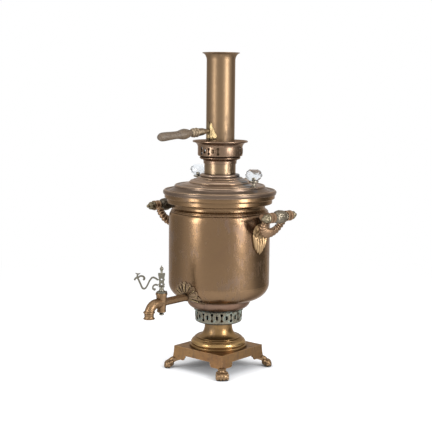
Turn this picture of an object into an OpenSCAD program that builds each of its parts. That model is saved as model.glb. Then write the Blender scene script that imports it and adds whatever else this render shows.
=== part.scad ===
// Samovar with a straight water vessel, charcoal fire tube, chimney, pierced crown,
// stepped lid with glass knobs, plug tap, two side handles and a footed square base.
// Millimetres. The fire tube's axis is the Z axis, the floor is z = 0 and the tap faces -Y.

/* [Vessel] */
// Outer diameter of the straight part of the water vessel
body_d = 240; // [216:1:264]
// Height of the vessel from its flat bottom to the lower edge of the stepped shoulder
vessel_h = 214; // [180:1:260]
// Height of the rounding at the vessel's bottom edge
bottom_round_h = 40; // [30:1:50]
// Height of the stepped shoulder between the vessel and the lid
shoulder_h = 38; // [34:0.5:44]
// Thickness of the sheet brass
sheet_t = 1.6; // [1.2:0.1:2]
// How far the vessel's mouth lies inside its wall
mouth_inset = 3; // [2:0.5:6]

/* [Lid] */
// Height of the lid from its seat to the top of its collar
lid_h = 47; // [42:0.5:52]
// How far the lid's rim stands out past the vessel's wall
lid_overhang = 14.2; // [11:0.1:18]
// Depth of the skirt that locates the lid in the vessel's mouth
skirt_h = 8; // [5:0.5:12]
// Gap between the skirt and the mouth
skirt_clear = 0.6; // [0.4:0.1:1.2]
// Diameter of the glass knobs
knob_d = 40; // [32:0.5:44]
// Height of the glass knobs
knob_h = 29; // [22:0.5:33]
// Height of the knobs' middle above the lid's seat
knob_rise = 49; // [46:0.5:56]
// Directions of the two knobs, in degrees from +X
knob_angles = [3, 163];
// Direction of the steam vent, in degrees from +X
vent_angle = 83; // [70:1:96]
// Diameter of the steam vent's turning cap
vent_d = 20; // [16:0.5:24]

/* [Fire tube and chimney] */
// Outer diameter of the fire tube where it leaves the lid
tube_d = 74; // [66:0.5:80]
// Outer diameter of the fire box at the foot of the fire tube
firebox_d = 104; // [96:0.5:110]
// Height of the fire tube above the top of the lid
tube_rise = 32; // [26:0.5:40]
// Running gap between the fire tube and what slides over it
tube_clear = 0.4; // [0.3:0.1:0.8]
// Outer diameter of the chimney pipe
chimney_d = 67; // [58:0.5:68]
// Height of the chimney pipe above the crown's floor
chimney_h = 247; // [200:1:300]
// Depth that the chimney reaches down into the fire tube
chimney_depth = 22; // [16:1:30]
// Diameter of the chimney's flared mouth
flare_d = 89.4; // [82:0.2:96]
// Height of the flare
flare_h = 17; // [12:0.5:22]

/* [Crown] */
// Diameter of the crown's rim, which carries a teapot
crown_d = 130; // [122:1:140]
// Diameter of the crown's pierced band
band_d = 105.6; // [100:0.2:112]
// Height of the crown from its collar's lower edge to its rim
crown_h = 54; // [50:0.5:60]
// Height of the crown's collar below its floor
collar_h = 7.5; // [6:0.5:10]
// Number of pierced groups around the crown
crown_groups = 3; // [2:1:4]
// Direction of the middle of the first group, in degrees from +X
crown_turn = -80; // [-110:1:-50]
// Angle between two openings of a group
crown_pitch = 12.3; // [11:0.1:13.5]

/* [Chimney handle] */
// Length of the handle from the chimney's wall to its tip
handle_len = 145; // [125:1:165]
// Length of the handle's metal ferrule
ferrule_len = 52; // [42:1:60]
// Largest diameter of the wooden grip
grip_bulb_d = 24.4; // [20:0.2:28]
// Height of the handle's root above the crown's floor
handle_rise = 67.5; // [64:0.5:120]
// Slope of the handle below level
handle_droop = 5; // [0:0.5:7]
// Direction of the handle, in degrees from +X
handle_angle = -102; // [-160:1:-60]

/* [Base] */
// Width of the square base plate
base_w = 150; // [144:1:170]
// Height of the base plate's top above the floor
base_h = 53; // [50:0.5:60]
// Height of the apron in the middle of each side
apron_h = 20; // [14:0.5:22]
// Height of the apron at its corner brackets
bracket_h = 31; // [28:0.5:33]
// Thickness of the plate and its apron
base_t = 3; // [2.5:0.1:4]
// How far the apron flares out at its lower edge
apron_flare = 3; // [1:0.2:4]
// Distance of the feet's middle from the base's corner, along the diagonal
foot_out = 14.5; // [12.5:0.5:18]
// Width of a foot
foot_w = 31; // [26:0.5:34]
// Largest radius of a foot
foot_r = 9.3; // [8:0.1:10]
// Height of the turned pedestal
pedestal_h = 56; // [50:0.5:64]
// Diameter of the pedestal's lower flange
flange_d = 137; // [130:1:142]
// Diameter of the pedestal's waist
waist_d = 66; // [60:0.5:74]

/* [Gallery and cup] */
// Diameter of the pierced air gallery
gallery_d = 111.6; // [104:0.2:118]
// Height of the gallery
gallery_h = 36.5; // [33:0.5:42]
// Number of pairs of openings around the gallery
gallery_pairs = 14; // [10:1:15]
// Diameter of the cup that carries the vessel
cup_d = 152; // [146:1:160]
// Height of the cup
cup_h = 22.5; // [20:0.5:26]
// Wall of the cast parts
cast_t = 2.4; // [2:0.1:3]

/* [Tap] */
// Height of the tap's centre above the vessel's flat bottom
tap_rise = 20; // [18:0.5:26]
// Distance of the plug's axis from the vessel's wall
tap_reach = 79; // [70:1:90]
// Width across the flats of the tap's pipe
pipe_w = 16; // [14:0.5:18]
// Height of the plug's housing
barrel_h = 43; // [38:0.5:46]
// Largest radius of the housing
barrel_r = 12.5; // [11.5:0.1:14]
// Radius of the water way
water_r = 3.2; // [2.6:0.1:3.4]
// Largest radius of the plug
plug_r = 9.2; // [8.4:0.1:9.6]
// Running gap around the plug
plug_clear = 0.05; // [0.03:0.01:0.1]
// Distance of the spout's outlet from the plug's axis
spout_reach = 40; // [38:0.5:46]
// Radius of the spout's outlet
outlet_r = 8; // [7:0.1:8.6]
// Height of the key above the housing
key_h = 63; // [56:0.5:72]
// Direction of the key's branch, in degrees from +X
key_angle = 220; // [180:1:270]
// Radius of the fan-shaped plate behind the tap
fan_r = 36; // [30:0.5:38]

/* [Side handles] */
// Distance of a grip's axis from the vessel's wall
grip_reach = 57; // [52:0.5:66]
// Depth of the grips' axis below the lid's seat
grip_drop = 40; // [36:0.5:46]
// Length of a grip between its two eyes
grip_len = 46; // [42:1:56]
// Largest diameter of a grip
grip_d = 31; // [26:0.5:34]
// Width of the eyes that hold a grip
eye_w = 18; // [14:0.5:20]
// Outer diameter of the eyes
eye_d = 24; // [20:0.5:26]
// Length of the pointed button on each end of a grip
button_len = 23; // [18:0.5:28]
// Width of the ribbed yoke at its lowest point
yoke_w = 23; // [18:0.5:25]
// Length of the shell plate below each handle's root
shell_h = 62; // [54:1:70]
// Width of this shell plate
shell_w = 40; // [34:0.5:46]

/* [Hidden] */
$fn = 64;
solder = 0.05;          // gap left where one piece is soldered to another
body_r = body_d / 2;
tube_r = tube_d / 2;
firebox_r = firebox_d / 2;
chimney_r = chimney_d / 2;
cup_r = cup_d / 2;
gallery_r = gallery_d / 2;
band_r = band_d / 2;
crown_r = crown_d / 2;
flange_r = flange_d / 2;
waist_r = waist_d / 2;
base_half = base_w / 2;
lid_r = body_r + lid_overhang;
mouth_r = body_r - mouth_inset;
skirt_r = mouth_r - skirt_clear;

// Levels, from the floor up
z_bracket = base_h - bracket_h;
z_gallery = base_h + pedestal_h;
z_cup = z_gallery + gallery_h;
z_vessel = z_cup + cup_h;
z_shoulder = z_vessel + vessel_h;
z_lid = z_shoulder + shoulder_h;
z_lid_top = z_lid + lid_h;
z_tube_top = z_lid_top + tube_rise;
crown_floor_t = 2;
z_floor = z_tube_top + crown_floor_t;
z_crown = z_tube_top - collar_h;

// ---------------------------------------------------------------- shared geometry

function mix(a, b, t) = a + (b - a) * t;

// Points of an elliptical arc, given by its centre, radii and end angles
function arc(c, rx, ry, from, to, n = 8) =
    [for (i = [0:n]) let (a = mix(from, to, i / n)) c + [rx * cos(a), ry * sin(a)]];

// Direction at right angles to the left of the line from a to b
function left(a, b) = let (d = b - a) [-d[1], d[0]] / norm(d);

// Mitre at point i of a path: the step to the left that keeps a wall's thickness
function mitre(p, i) = let (
    last = len(p) - 1,
    a = left(p[max(i, 1) - 1], p[max(i, 1)]),
    b = left(p[min(i, last - 1)], p[min(i, last - 1) + 1]))
    (a + b) / (1 + a * b);

// A path moved to its left by t
function beside(p, t) = [for (i = [0:len(p) - 1]) p[i] + t * mitre(p, i)];

function reversed(p) = [for (i = [len(p) - 1:-1:0]) p[i]];

// Outline of a wall that runs along a path and has its thickness t to the left of it
function wall(p, t) = concat(p, reversed(beside(p, t)));

// A point on a smooth curve through all points of a path, with t from 0 to len - 1
function on_curve(p, t) = let (
    last = len(p) - 1,
    i = min(floor(t), last - 1),
    f = t - i,
    p0 = p[max(i - 1, 0)], p1 = p[i], p2 = p[i + 1], p3 = p[min(i + 2, last)])
    0.5 * (2 * p1 + (p2 - p0) * f + (2 * p0 - 5 * p1 + 4 * p2 - p3) * f * f
        + (3 * p1 - p0 - 3 * p2 + p3) * f * f * f);

// The same curve as n steps between two neighbouring points
function smooth(p, n) = [for (i = [0:(len(p) - 1) * n]) on_curve(p, i / n)];

// Turned piece with the given half outline
module turned(points) {
    rotate_extrude() polygon(points);
}

// Flat shape stood up at a distance r from the axis and extruded outwards by depth
module radial(angle, r, z, depth) {
    $fn = 24;
    rotate([0, 0, angle]) translate([r, 0, z]) rotate([90, 0, 90])
        linear_extrude(depth) children();
}

// Two round holes joined by a slot
module dumbbell(height, head_r, slot_w) {
    for (side = [-1, 1]) translate([0, side * (height / 2 - head_r)]) circle(head_r);
    square([slot_w, height - 2 * head_r], center = true);
}

// Upright slot with round ends
module slot(height, width) {
    for (side = [-1, 1]) translate([0, side * (height - width) / 2]) circle(width / 2);
    square([width, height - width], center = true);
}

// Wedge with a round end that points along +Y from the origin
module ray(length, half_angle) {
    end_r = length * tan(half_angle);
    polygon([[0, 0], [end_r, length], [-end_r, length]]);
    translate([0, length]) circle(end_r);
}

// Rays side by side, spread evenly over an angle on both sides of +Y
module rays(count, spread, length, fill) {
    step = spread / count;
    for (i = [0:count - 1]) rotate((i - (count - 1) / 2) * step)
        ray(length / (1 + tan(step / 2)), step / 2 * fill);
}

// Solid swept along 3-D points: an oval of the given half sizes in each ring, whose broad
// side looks towards face. ribs is the depth of the grooves across it, as a share.
module strap(points, face, half_w, half_t, ribs = 0) {
    n = len(points) - 1;
    sides = 12;
    function along(i) = let (d = points[min(i + 1, n)] - points[max(i - 1, 0)]) d / norm(d);
    function wide(i) = let (w = cross(face, along(i))) w / norm(w);
    function ring(i) = let (w = wide(i), t = cross(along(i), w),
        swell = 1 - ribs * (i % 2))
        [for (k = [0:sides - 1]) let (a = 360 * k / sides)
            points[i] + w * half_w(i / n) * (1 - (1 - swell) / 2) * cos(a)
                + t * half_t * swell * sin(a)];
    faces = concat([[for (k = [0:sides - 1]) k]],
        [for (i = [0:n - 1], k = [0:sides - 1]) let (j = (k + 1) % sides)
            [i * sides + k, (i + 1) * sides + k, (i + 1) * sides + j, i * sides + j]],
        [[for (k = [sides - 1:-1:0]) n * sides + k]]);
    polyhedron([for (i = [0:n]) each ring(i)], faces);
}

// ---------------------------------------------------------------- base

foot_h = foot_r - 1.3;                    // height of a foot's axis above the floor
foot_x = base_half * sqrt(2) + foot_out;  // distance of a foot from the vertical axis
peg_r = 4;
peg_h = 12;
peg_inset = 9;                            // of a foot's peg from the base's corner, each way
block_w = 18;                             // corner block that takes the peg
flange_seat_w = 18;                       // width of the seat under the pedestal's flange

// Half width of the base, less an inset, at height z
function base_side(z, inset) =
    base_half + apron_flare * pow((base_h - z) / bracket_h, 2) - inset;

// Square block with the base's flared sides
module flared_block(inset, top) {
    steps = 6;
    edge = [for (i = [0:steps]) let (z = mix(z_bracket, top, i / steps))
        [base_side(z, inset), z]];
    outline = concat(edge, [for (p = reversed(edge)) [-p[0], p[1]]]);
    intersection() {
        rotate([90, 0, 0]) linear_extrude(2 * base_w, center = true) polygon(outline);
        rotate([90, 0, 90]) linear_extrude(2 * base_w, center = true) polygon(outline);
    }
}

// What is cut from under the apron: a straight stretch and two steps down to each bracket
module apron_cut() {
    reach = base_half - 36;
    step_w = 2.5;
    step_h = (bracket_h - apron_h) / 2;
    half = [[reach, base_h - apron_h], [reach, base_h - apron_h - step_h],
        [reach + step_w, base_h - apron_h - step_h],
        [reach + step_w, z_bracket + 2], [reach + 2 * step_w, z_bracket],
        [reach + 2 * step_w, z_bracket - 1]];
    polygon(concat(half, [for (p = reversed(half)) [-p[0], p[1]]]));
}

module base_plate() {
    color("peru") difference() {
        union() {
            difference() {
                flared_block(0, base_h);
                flared_block(base_t, base_h - base_t);
                for (turn = [0, 90]) rotate([90, 0, turn])
                    linear_extrude(2 * base_w, center = true) apron_cut();
            }
            intersection() {
                flared_block(0, base_h);
                for (x = [-1, 1], y = [-1, 1])
                    translate([x * (base_half - block_w / 2 + base_t),
                        y * (base_half - block_w / 2 + base_t), base_h - bracket_h / 2])
                        cube([block_w + 2 * base_t, block_w + 2 * base_t, bracket_h], center = true);
            }
        }
        for (x = [-1, 1], y = [-1, 1])
            translate([x * (base_half - peg_inset), y * (base_half - peg_inset), z_bracket - 1])
                cylinder(h = peg_h + 2, r = peg_r + solder);
        translate([0, 0, base_h - 2 * base_t]) cylinder(h = 3 * base_t, r = flange_r - flange_seat_w);
    }
}

// Half outline of a foot's row of toes, turned about its own level axis
function toes() = let (n = 24, count = 4) concat([[0, -foot_w / 2]],
    [for (i = [1:n - 1]) let (
        t = 2 * i / n - 1,
        round_off = sqrt(1 - pow(abs(t), 2.6)),
        toe = 0.93 + 0.07 * abs(sin(180 * count * i / n)))
        [foot_r * round_off * toe, t * foot_w / 2]], [[0, foot_w / 2]]);

module foot(angle) {
    corner = base_half * sqrt(2);
    peg_x = corner - peg_inset * sqrt(2);
    leg = concat([[peg_x - 8, z_bracket], [corner + 3.5, z_bracket]],
        arc([corner + 12, z_bracket + 5], 9, 8.5, 205, 270, 5),
        [[foot_x, foot_h + foot_r - 0.6], [foot_x, foot_h - 4]],
        arc([foot_x - foot_r - 16, foot_h - 4], 16, 14, 0, 70, 6));
    color("peru") rotate([0, 0, angle]) intersection() {
        union() {
            rotate([90, 0, 0]) linear_extrude(0.6 * foot_w, center = true) polygon(leg);
            translate([foot_x, 0, foot_h]) rotate([90, 0, 0]) turned(toes());
            translate([peg_x, 0, z_bracket - 3]) cylinder(h = peg_h + 3, r = peg_r);
        }
        translate([foot_x - 50, -foot_w, 0]) cube([100, 2 * foot_w, base_h]);
    }
}
module foot_front_left() { foot(-135); }
module foot_front_right() { foot(-45); }
module foot_back_left() { foot(135); }
module foot_back_right() { foot(45); }

// ---------------------------------------------------------------- pedestal, gallery, cup

module pedestal() {
    outside = concat([[flange_r, base_h], [flange_r, base_h + 4]],
        arc([flange_r - 1, base_h + 4], 1, 1, 0, 90, 3),
        [[flange_r - 3.5, base_h + 6.5], [flange_r - 6.5, base_h + 8]],
        arc([flange_r - 9.5, base_h + 13], 3.5, 5.5, -55, 75, 7),
        [[flange_r - 10.5, base_h + 20], [flange_r - 12, base_h + 21.5],
         [flange_r - 15, base_h + 22.5]],
        arc([flange_r - 15, base_h + 49], flange_r - 15 - waist_r, 25.5, 270, 180, 12),
        [[waist_r, z_gallery]]);
    inside = [[waist_r - cast_t, z_gallery], [waist_r - cast_t, base_h + 38],
        [flange_r - 24, base_h + 18], [flange_r - 12, base_h + 14], [flange_r - 12, base_h]];
    color("goldenrod") turned(concat(outside, inside));
}

gallery_foot_h = 8;                 // height of the bowl under the pierced band
z_pattern = z_gallery + 21.5;       // middle of the pierced pattern
module gallery() {
    top_bead_r = 1.7;
    outside = concat([[waist_r, z_gallery]],
        arc([waist_r, z_gallery + gallery_foot_h], gallery_r - waist_r, gallery_foot_h - 2, 275, 350, 7),
        [[gallery_r, z_gallery + gallery_foot_h + 1], [gallery_r, z_cup - 5]],
        arc([gallery_r, z_cup - 3.2], top_bead_r, top_bead_r, -80, 80, 6),
        [[gallery_r - 0.2, z_cup - 1], [gallery_r - 0.2, z_cup]]);
    inside = [[gallery_r - cast_t, z_cup], [gallery_r - cast_t, z_gallery + gallery_foot_h + 1],
        [gallery_r - cast_t - 4, z_gallery + 5.5], [waist_r - cast_t, z_gallery + 3.5],
        [waist_r - cast_t, z_gallery]];
    step = 360 / gallery_pairs;
    color("darkseagreen") difference() {
        union() {
            turned(concat(outside, inside));
            for (i = [0:gallery_pairs - 1])
                radial((i + 0.5) * step, gallery_r - cast_t, z_pattern, cast_t + 0.7) slot(13, 8);
        }
        for (i = [0:gallery_pairs - 1]) {
            radial(i * step, gallery_r - 3 * cast_t, z_pattern, 6 * cast_t) dumbbell(16.5, 2.3, 2.2);
            radial((i + 0.5) * step, gallery_r - 3 * cast_t, z_pattern, 6 * cast_t) slot(7.5, 3.2);
        }
    }
}

grate_seat_w = 6;                   // width of the ledge that carries the grate
module cup() {
    edge = concat([[gallery_r - 0.2, z_cup], [gallery_r + 1, z_cup + 0.6]],
        arc([gallery_r, z_cup + cup_h - 1], cup_r - gallery_r, cup_h - 2.5, -75, 0, 9),
        [[cup_r, z_vessel], [firebox_r - sheet_t - grate_seat_w, z_vessel]]);
    color("peru") turned(wall(edge, cast_t));
}

module grate() {
    grate_t = 3;
    grate_r = firebox_r - sheet_t - 0.4;
    slots = 7;
    pitch = 2 * (grate_r - 8) / slots;
    color("dimgray") translate([0, 0, z_vessel]) difference() {
        cylinder(h = grate_t, r = grate_r);
        for (i = [0:slots - 1]) let (
            x = (i - (slots - 1) / 2) * pitch,
            half = sqrt(pow(grate_r - 7, 2) - x * x))
            translate([x, 0, grate_t / 2]) cube([pitch * 0.45, 2 * half, 2 * grate_t], center = true);
    }
}

// ---------------------------------------------------------------- vessel

flat_r = cup_r - 6;                         // radius of the flat part of the vessel's bottom
z_tap = z_vessel + tap_rise;
stud_r = 3;
z_grip = z_lid - grip_drop;
grip_x = body_r + grip_reach;
z_root = z_grip - grip_drop * 0.75;         // level of the handles' roots on the wall

// The vessel's outside from the fire box out to the wall
function bottom_curve() = concat([[firebox_r + solder, z_vessel]],
    arc([flat_r, z_vessel + bottom_round_h], body_r - flat_r, bottom_round_h, -90, 0, 14));

module vessel() {
    round_w = 6;
    outside = concat(bottom_curve(),
        arc([body_r - round_w, z_shoulder - 20], round_w, 16, 0, 72, 6),
        arc([body_r - round_w - 0.4, z_shoulder - 2.6], 1.9, 1.9, -60, 75, 5),
        [[body_r - round_w - 0.8, z_shoulder - 0.6], [body_r - round_w - 0.8, z_shoulder]]);
    color("peru") difference() {
        turned(wall(outside, sheet_t));
        translate([0, -body_r / 2, z_tap]) rotate([90, 0, 0])
            cylinder(h = body_r, r = spigot_r + solder);
        for (side = [-1, 1]) translate([side * body_r / 2, 0, z_root]) rotate([0, 90 * side, 0])
            cylinder(h = body_r, r = stud_r + 0.2);
    }
}

module shoulder_ring() {
    foot_edge = body_r - 6.8;
    edge = concat([[foot_edge, z_shoulder], [foot_edge, z_shoulder + 1]],
        arc([foot_edge + 2.2, z_shoulder + 9], 8, 8, 235, 132, 7),
        [[body_r + 2, z_lid - 21.8]],
        arc([body_r + 2, z_lid - 19.3], 2.5, 2.5, -75, 0, 4),
        [[body_r + 4.5, z_lid - 11.5], [body_r + 5.5, z_lid - 10]],
        arc([body_r + 8, z_lid - 7.5], 2.5, 2.5, -80, 0, 4),
        [[body_r + 10.5, z_lid], [mouth_r, z_lid], [mouth_r, z_lid - skirt_h]]);
    color("peru") turned(wall(edge, sheet_t));
}

module fire_tube() {
    outside = [[firebox_r, z_vessel], [firebox_r, z_vessel + 45],
        [tube_r, z_vessel + 130], [tube_r, z_tube_top]];
    color("darkgoldenrod") turned(wall(outside, sheet_t));
}

// ---------------------------------------------------------------- side handles

eye_r = eye_d / 2;
rod_r = 3;
shell_t = 2.2;
rib_t = 1.8;                                // height of the ribs on the shell plates
plate_gap = 0.2;                            // between a handle's shell plate and the wall
end_y = grip_len / 2 + eye_w;               // outer face of the eyes
root_r = 9;

// Mirrors the right-hand handle's piece to the side that is asked for
module on_side(side) {
    mirror([side < 0 ? 1 : 0, 0, 0]) children();
}

// Hanging lobes of a handle's shell plate
lobe_n = 5;
lobe_pitch = shell_w / (lobe_n + 0.2);      // at their upper ends
tip_pitch = 0.66 * lobe_pitch;
function lobe_side(i) = i - (lobe_n - 1) / 2;
function lobe_tip(i) = let (side = lobe_side(i))
    [side * tip_pitch, tip_pitch / 2 - shell_h * (1 - 0.04 * side * side)];

// Outline of the plate below its upper edge, with a round end under each lobe
function plate_edge(top) = concat([[-shell_w / 2, top]],
    [for (i = [0:lobe_n - 1]) each arc(lobe_tip(i), tip_pitch / 2, tip_pitch / 2, 180, 360, 6)],
    [[shell_w / 2, top]]);

// Raised rib with a round end that runs down the middle of each lobe
module lobe_ribs(top, fill) {
    for (i = [0:lobe_n - 1]) let (tip = lobe_tip(i), x = lobe_side(i) * lobe_pitch,
        half = fill / 2 * lobe_pitch, tip_half = fill / 2 * tip_pitch) {
        polygon([[x - half, top], [tip[0] - tip_half, tip[1]], [tip[0] + tip_half, tip[1]],
            [x + half, top]]);
        translate(tip) circle(tip_half);
    }
}

// Flat shape stood up around a handle's root, as far out as a skin on the vessel's wall
module on_wall(thickness) {
    intersection() {
        radial(0, body_r / 2, z_root, body_r) children();
        cylinder(h = z_lid, r = body_r + thickness);
    }
}

module handle_shell(side) {
    fold_d = shell_w * 0.72;
    color("darkkhaki") on_side(side) difference() {
        union() {
            on_wall(shell_t) {
                polygon(plate_edge(-shell_h * 0.04));
                polygon(arc([0, 0], shell_w / 2, shell_w * 0.31, 0, 360, 24));
            }
            on_wall(shell_t + rib_t) {
                lobe_ribs(-shell_h * 0.38, 0.52);
                for (x = [-1, 1]) rotate(x * 38)
                    polygon(arc([0, -fold_d / 2], fold_d / 12, fold_d / 2.4, 0, 360, 16));
                circle(root_r + 1);
            }
        }
        rotate([0, 0, 90]) translate([0, 0, -1]) cylinder(h = z_lid + 2, r = body_r + plate_gap);
        translate([body_r - 5, 0, z_root]) rotate([0, 90, 0]) cylinder(h = 20, r = stud_r + 0.2);
    }
}
module handle_shell_right() { handle_shell(1); }
module handle_shell_left() { handle_shell(-1); }

// Half outline of a disc with a raised ring along each of its two edges
function ringed(r, width) = let (half = width / 2, edge = r * 0.12, ring = width * 0.22)
    [[0, -half], [r - edge, -half], [r, edge - half], [r, ring - half],
        [r - edge, ring + edge - half], [r - edge, half - ring - edge], [r, half - ring],
        [r, half - edge], [r - edge, half], [0, half]];

// Stem, scroll and the ribbed horseshoe that rises to the eyes
module handle_yoke(side) {
    root_x = body_r + shell_t + rib_t + 0.1;
    eye_y = (grip_len + eye_w) / 2;
    low = [grip_x - grip_reach / 2, 0, z_grip - yoke_w * 1.72];
    rise = z_grip - low[2];
    run = grip_x - low[0];
    lean = [rise, 0, -run];                 // the way the horseshoe's broad side looks
    // Shares of the way outwards, sideways and upwards along one half of the horseshoe
    half = [[0.04, 0.36, 0.04], [0.14, 0.75, 0.22], [0.32, 0.97, 0.5], [0.56, 1, 0.77],
        [0.8, 1, 0.94]];
    bow = smooth([for (p = concat([for (q = reversed(half)) [q[0], -q[1], q[2]]], [[0, 0, 0]], half))
        low + [run * p[0], eye_y * p[1], rise * p[2]]], 4);
    stem = smooth([[root_x + 3, 0, z_root], [root_x + 9, 0, z_root - 1],
        [mix(root_x, low[0], 0.75), 0, low[2] + 3], low + [1, 0, -1]], 3);
    neck = smooth([[root_x + 4, 0, z_root - 2], [root_x + 9, 0, z_root + 7],
        [root_x + 9.5, 0, z_grip - 12], [root_x + 8, 0, z_grip - 4]], 3);
    color("rosybrown") on_side(side) difference() {
        union() {
            strap(stem, [0, 1, 0], function(t) mix(5, 8, t), 8.6);
            strap(neck, [0, 1, 0], function(t) mix(5, 4.4, t), 7, 0.12);
            translate([root_x + 9, 0, z_grip - 5]) rotate([90, 0, 0]) turned(ringed(7.6, 16));
            strap(bow, lean, function(t) mix(yoke_w, eye_w - 1, abs(2 * t - 1)) / 2,
                yoke_w * 0.21, 0.14);
            for (end = [-1, 1]) translate([grip_x, end * eye_y, z_grip]) rotate([90, 0, 0])
                turned(ringed(eye_r, eye_w));
            translate([root_x, 0, z_root]) rotate([0, 90, 0]) cylinder(h = 5, r = root_r);
            translate([root_x + 1, 0, z_root]) rotate([0, -90, 0]) cylinder(h = 21, r = stud_r);
        }
        translate([grip_x, 0, z_grip]) rotate([90, 0, 0])
            cylinder(h = 4 * end_y, r = rod_r + 0.1, center = true);
    }
}
module handle_yoke_right() { handle_yoke(1); }
module handle_yoke_left() { handle_yoke(-1); }

// Turned grip: a bulb with four shallow bands between two beads
module grip(side) {
    half = grip_len / 2;
    big_r = grip_d / 2;
    bead_r = big_r * 0.68;
    steps = 16;
    end = [[bead_r - 2, half - 0.1], [bead_r, half - 1], [bead_r, half - 3.4],
        [bead_r - 1.6, half - 4.4], [bead_r - 1.6, half - 5.4]];
    bulb = [for (i = [0:steps]) let (t = 1 - 2 * i / steps, band = i % 4 == 2 ? 0.6 : 0)
        [mix(bead_r - 0.6, big_r, sqrt(1 - t * t)) - band, t * (half - 6)]];
    color("dimgray") on_side(side) translate([grip_x, 0, z_grip]) rotate([90, 0, 0]) difference() {
        turned(concat([[0, half - 0.1]], end, bulb,
            [for (p = reversed(end)) [p[0], -p[1]]], [[0, -half + 0.1]]));
        cylinder(h = 2 * grip_len, r = rod_r + 0.1, center = true);
    }
}
module grip_right() { grip(1); }
module grip_left() { grip(-1); }

rod_out = 6;                                // how far a rod reaches into its buttons
module grip_rod(side) {
    color("tan") on_side(side) translate([grip_x, 0, z_grip]) rotate([90, 0, 0])
        cylinder(h = 2 * (end_y + rod_out), r = rod_r, center = true);
}
module grip_rod_right() { grip_rod(1); }
module grip_rod_left() { grip_rod(-1); }

// Turned, pointed end nuts of a handle's rod
module grip_buttons(side) {
    big_r = eye_r * 0.84;
    tip_r = eye_r * 0.36;
    profile = concat([[rod_r + solder, 0.1], [big_r - 1, 0.1], [big_r, 1], [big_r, 3],
        [big_r - 1.8, 4.4], [big_r - 1.8, 5.6]],
        smooth([[big_r - 0.6, button_len * 0.3], [big_r - 1.4, button_len * 0.45],
            [mix(tip_r, big_r, 0.42), button_len * 0.66], [tip_r - 0.6, button_len * 0.78]], 2),
        arc([0, button_len - tip_r], tip_r, tip_r, 10, 80, 4),
        [[0, button_len], [0, rod_out + 1], [rod_r + solder, rod_out + 1]]);
    color("darkkhaki") on_side(side) for (end = [-1, 1])
        translate([grip_x, end * end_y, z_grip]) rotate([-90 * end, 0, 0]) turned(profile);
}
module grip_buttons_right() { grip_buttons(1); }
module grip_buttons_left() { grip_buttons(-1); }

// Nuts inside the vessel that hold the handles' studs
module handle_nuts() {
    nut_t = 5;
    color("darkgoldenrod") for (side = [-1, 1])
        translate([side * (body_r - sheet_t - 0.3 - nut_t / 2), 0, z_root]) rotate([0, 90, 0]) difference() {
            cylinder(h = nut_t, r = 6.5, center = true, $fn = 6);
            cylinder(h = 2 * nut_t, r = stud_r + solder, center = true);
        }
}

// ---------------------------------------------------------------- tap

tap_y = -(body_r + tap_reach);
z_barrel = z_tap - barrel_h * 0.48;         // lower edge of the plug's housing
barrel_foot_r = barrel_r - 3;
plug_foot_r = plug_r - 2.4;
bend_r = 22;                                // of the spout's middle line
spout_r = 10.8;
outlet_drop = 9;                            // from the bend's end down to the outlet
spigot_r = pipe_w / 2 - 1;                  // of the round end that passes through the wall
tap_nut_t = 5;
tap_nut_r = 11.5;
tap_nut_y = wall_r(tap_rise - tap_nut_r * cos(30)) - 5;     // face towards the wall
spigot_in = body_r - tap_nut_y + tap_nut_t + 1;             // end of the round spigot
key_turn = [0, 0, key_angle];

// The vessel's radius at a height above its bottom, within the rounding
function wall_r(rise) = flat_r + (body_r - flat_r) * sqrt(1 - pow(1 - rise / bottom_round_h, 2));

// The plug's cone, made longer at both ends and wider all round
module plug_cone(extra, gap) {
    slope = (plug_r - plug_foot_r) / barrel_h;
    translate([0, 0, z_barrel - extra]) cylinder(h = barrel_h + 2 * extra,
        r1 = plug_foot_r - extra * slope + gap, r2 = plug_r + extra * slope + gap);
}

// Everything inside the skin that lies a gap outside the vessel's wall
module vessel_core(gap) {
    z_top = z_vessel + vessel_h * 0.8;
    skin = concat(bottom_curve(), [[body_r, z_top]]);
    turned(concat([[0, z_vessel - gap]], beside(skin, -gap), [[0, z_top]]));
}

// Flat shape stood up around the tap's axis, from the middle of the vessel out to its front
module on_front() {
    translate([0, -body_r / 2, z_tap]) rotate([90, 0, 0]) linear_extrude(body_r) children();
}

module tap_shell() {
    rays_n = 11;
    fan_angle = 252;
    hub_r = pipe_w * 0.62;
    color("darkkhaki") difference() {
        union() {
            intersection() {
                on_front() {
                    rays(rays_n, fan_angle, fan_r, 1.04);
                    circle(hub_r);
                }
                vessel_core(shell_t);
            }
            intersection() {
                on_front() {
                    rays(rays_n, fan_angle, fan_r - 1.5, 0.5);
                    circle(hub_r + 2.5);
                }
                vessel_core(shell_t + rib_t);
            }
        }
        vessel_core(solder);
        on_front() circle(spigot_r + solder);
    }
}

// Nut inside the vessel that holds the tap
module tap_nut() {
    color("darkgoldenrod") translate([0, spigot_in - body_r - 1, z_tap]) rotate([90, 0, 0]) difference() {
        cylinder(h = tap_nut_t, r = tap_nut_r, $fn = 6);
        translate([0, 0, -1]) cylinder(h = tap_nut_t + 2, r = spigot_r + solder);
    }
}

// Soft washer that fills the space between the nut and the curved wall
module tap_seal() {
    color("saddlebrown") difference() {
        intersection() {
            translate([0, spigot_in - body_r - 1 - tap_nut_t, z_tap]) rotate([90, 0, 0])
                cylinder(h = 40, r = 10.5);
            vessel_core(-sheet_t - solder);
        }
        translate([0, 0, z_tap]) rotate([90, 0, 0]) cylinder(h = 2 * body_r, r = spigot_r + solder);
    }
}

// Quarter bend from level to downwards, with the bend's centre at the origin
module elbow(r) {
    rotate([0, -90, 180]) rotate_extrude(angle = 90) translate([bend_r, 0]) circle(r);
}

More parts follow.
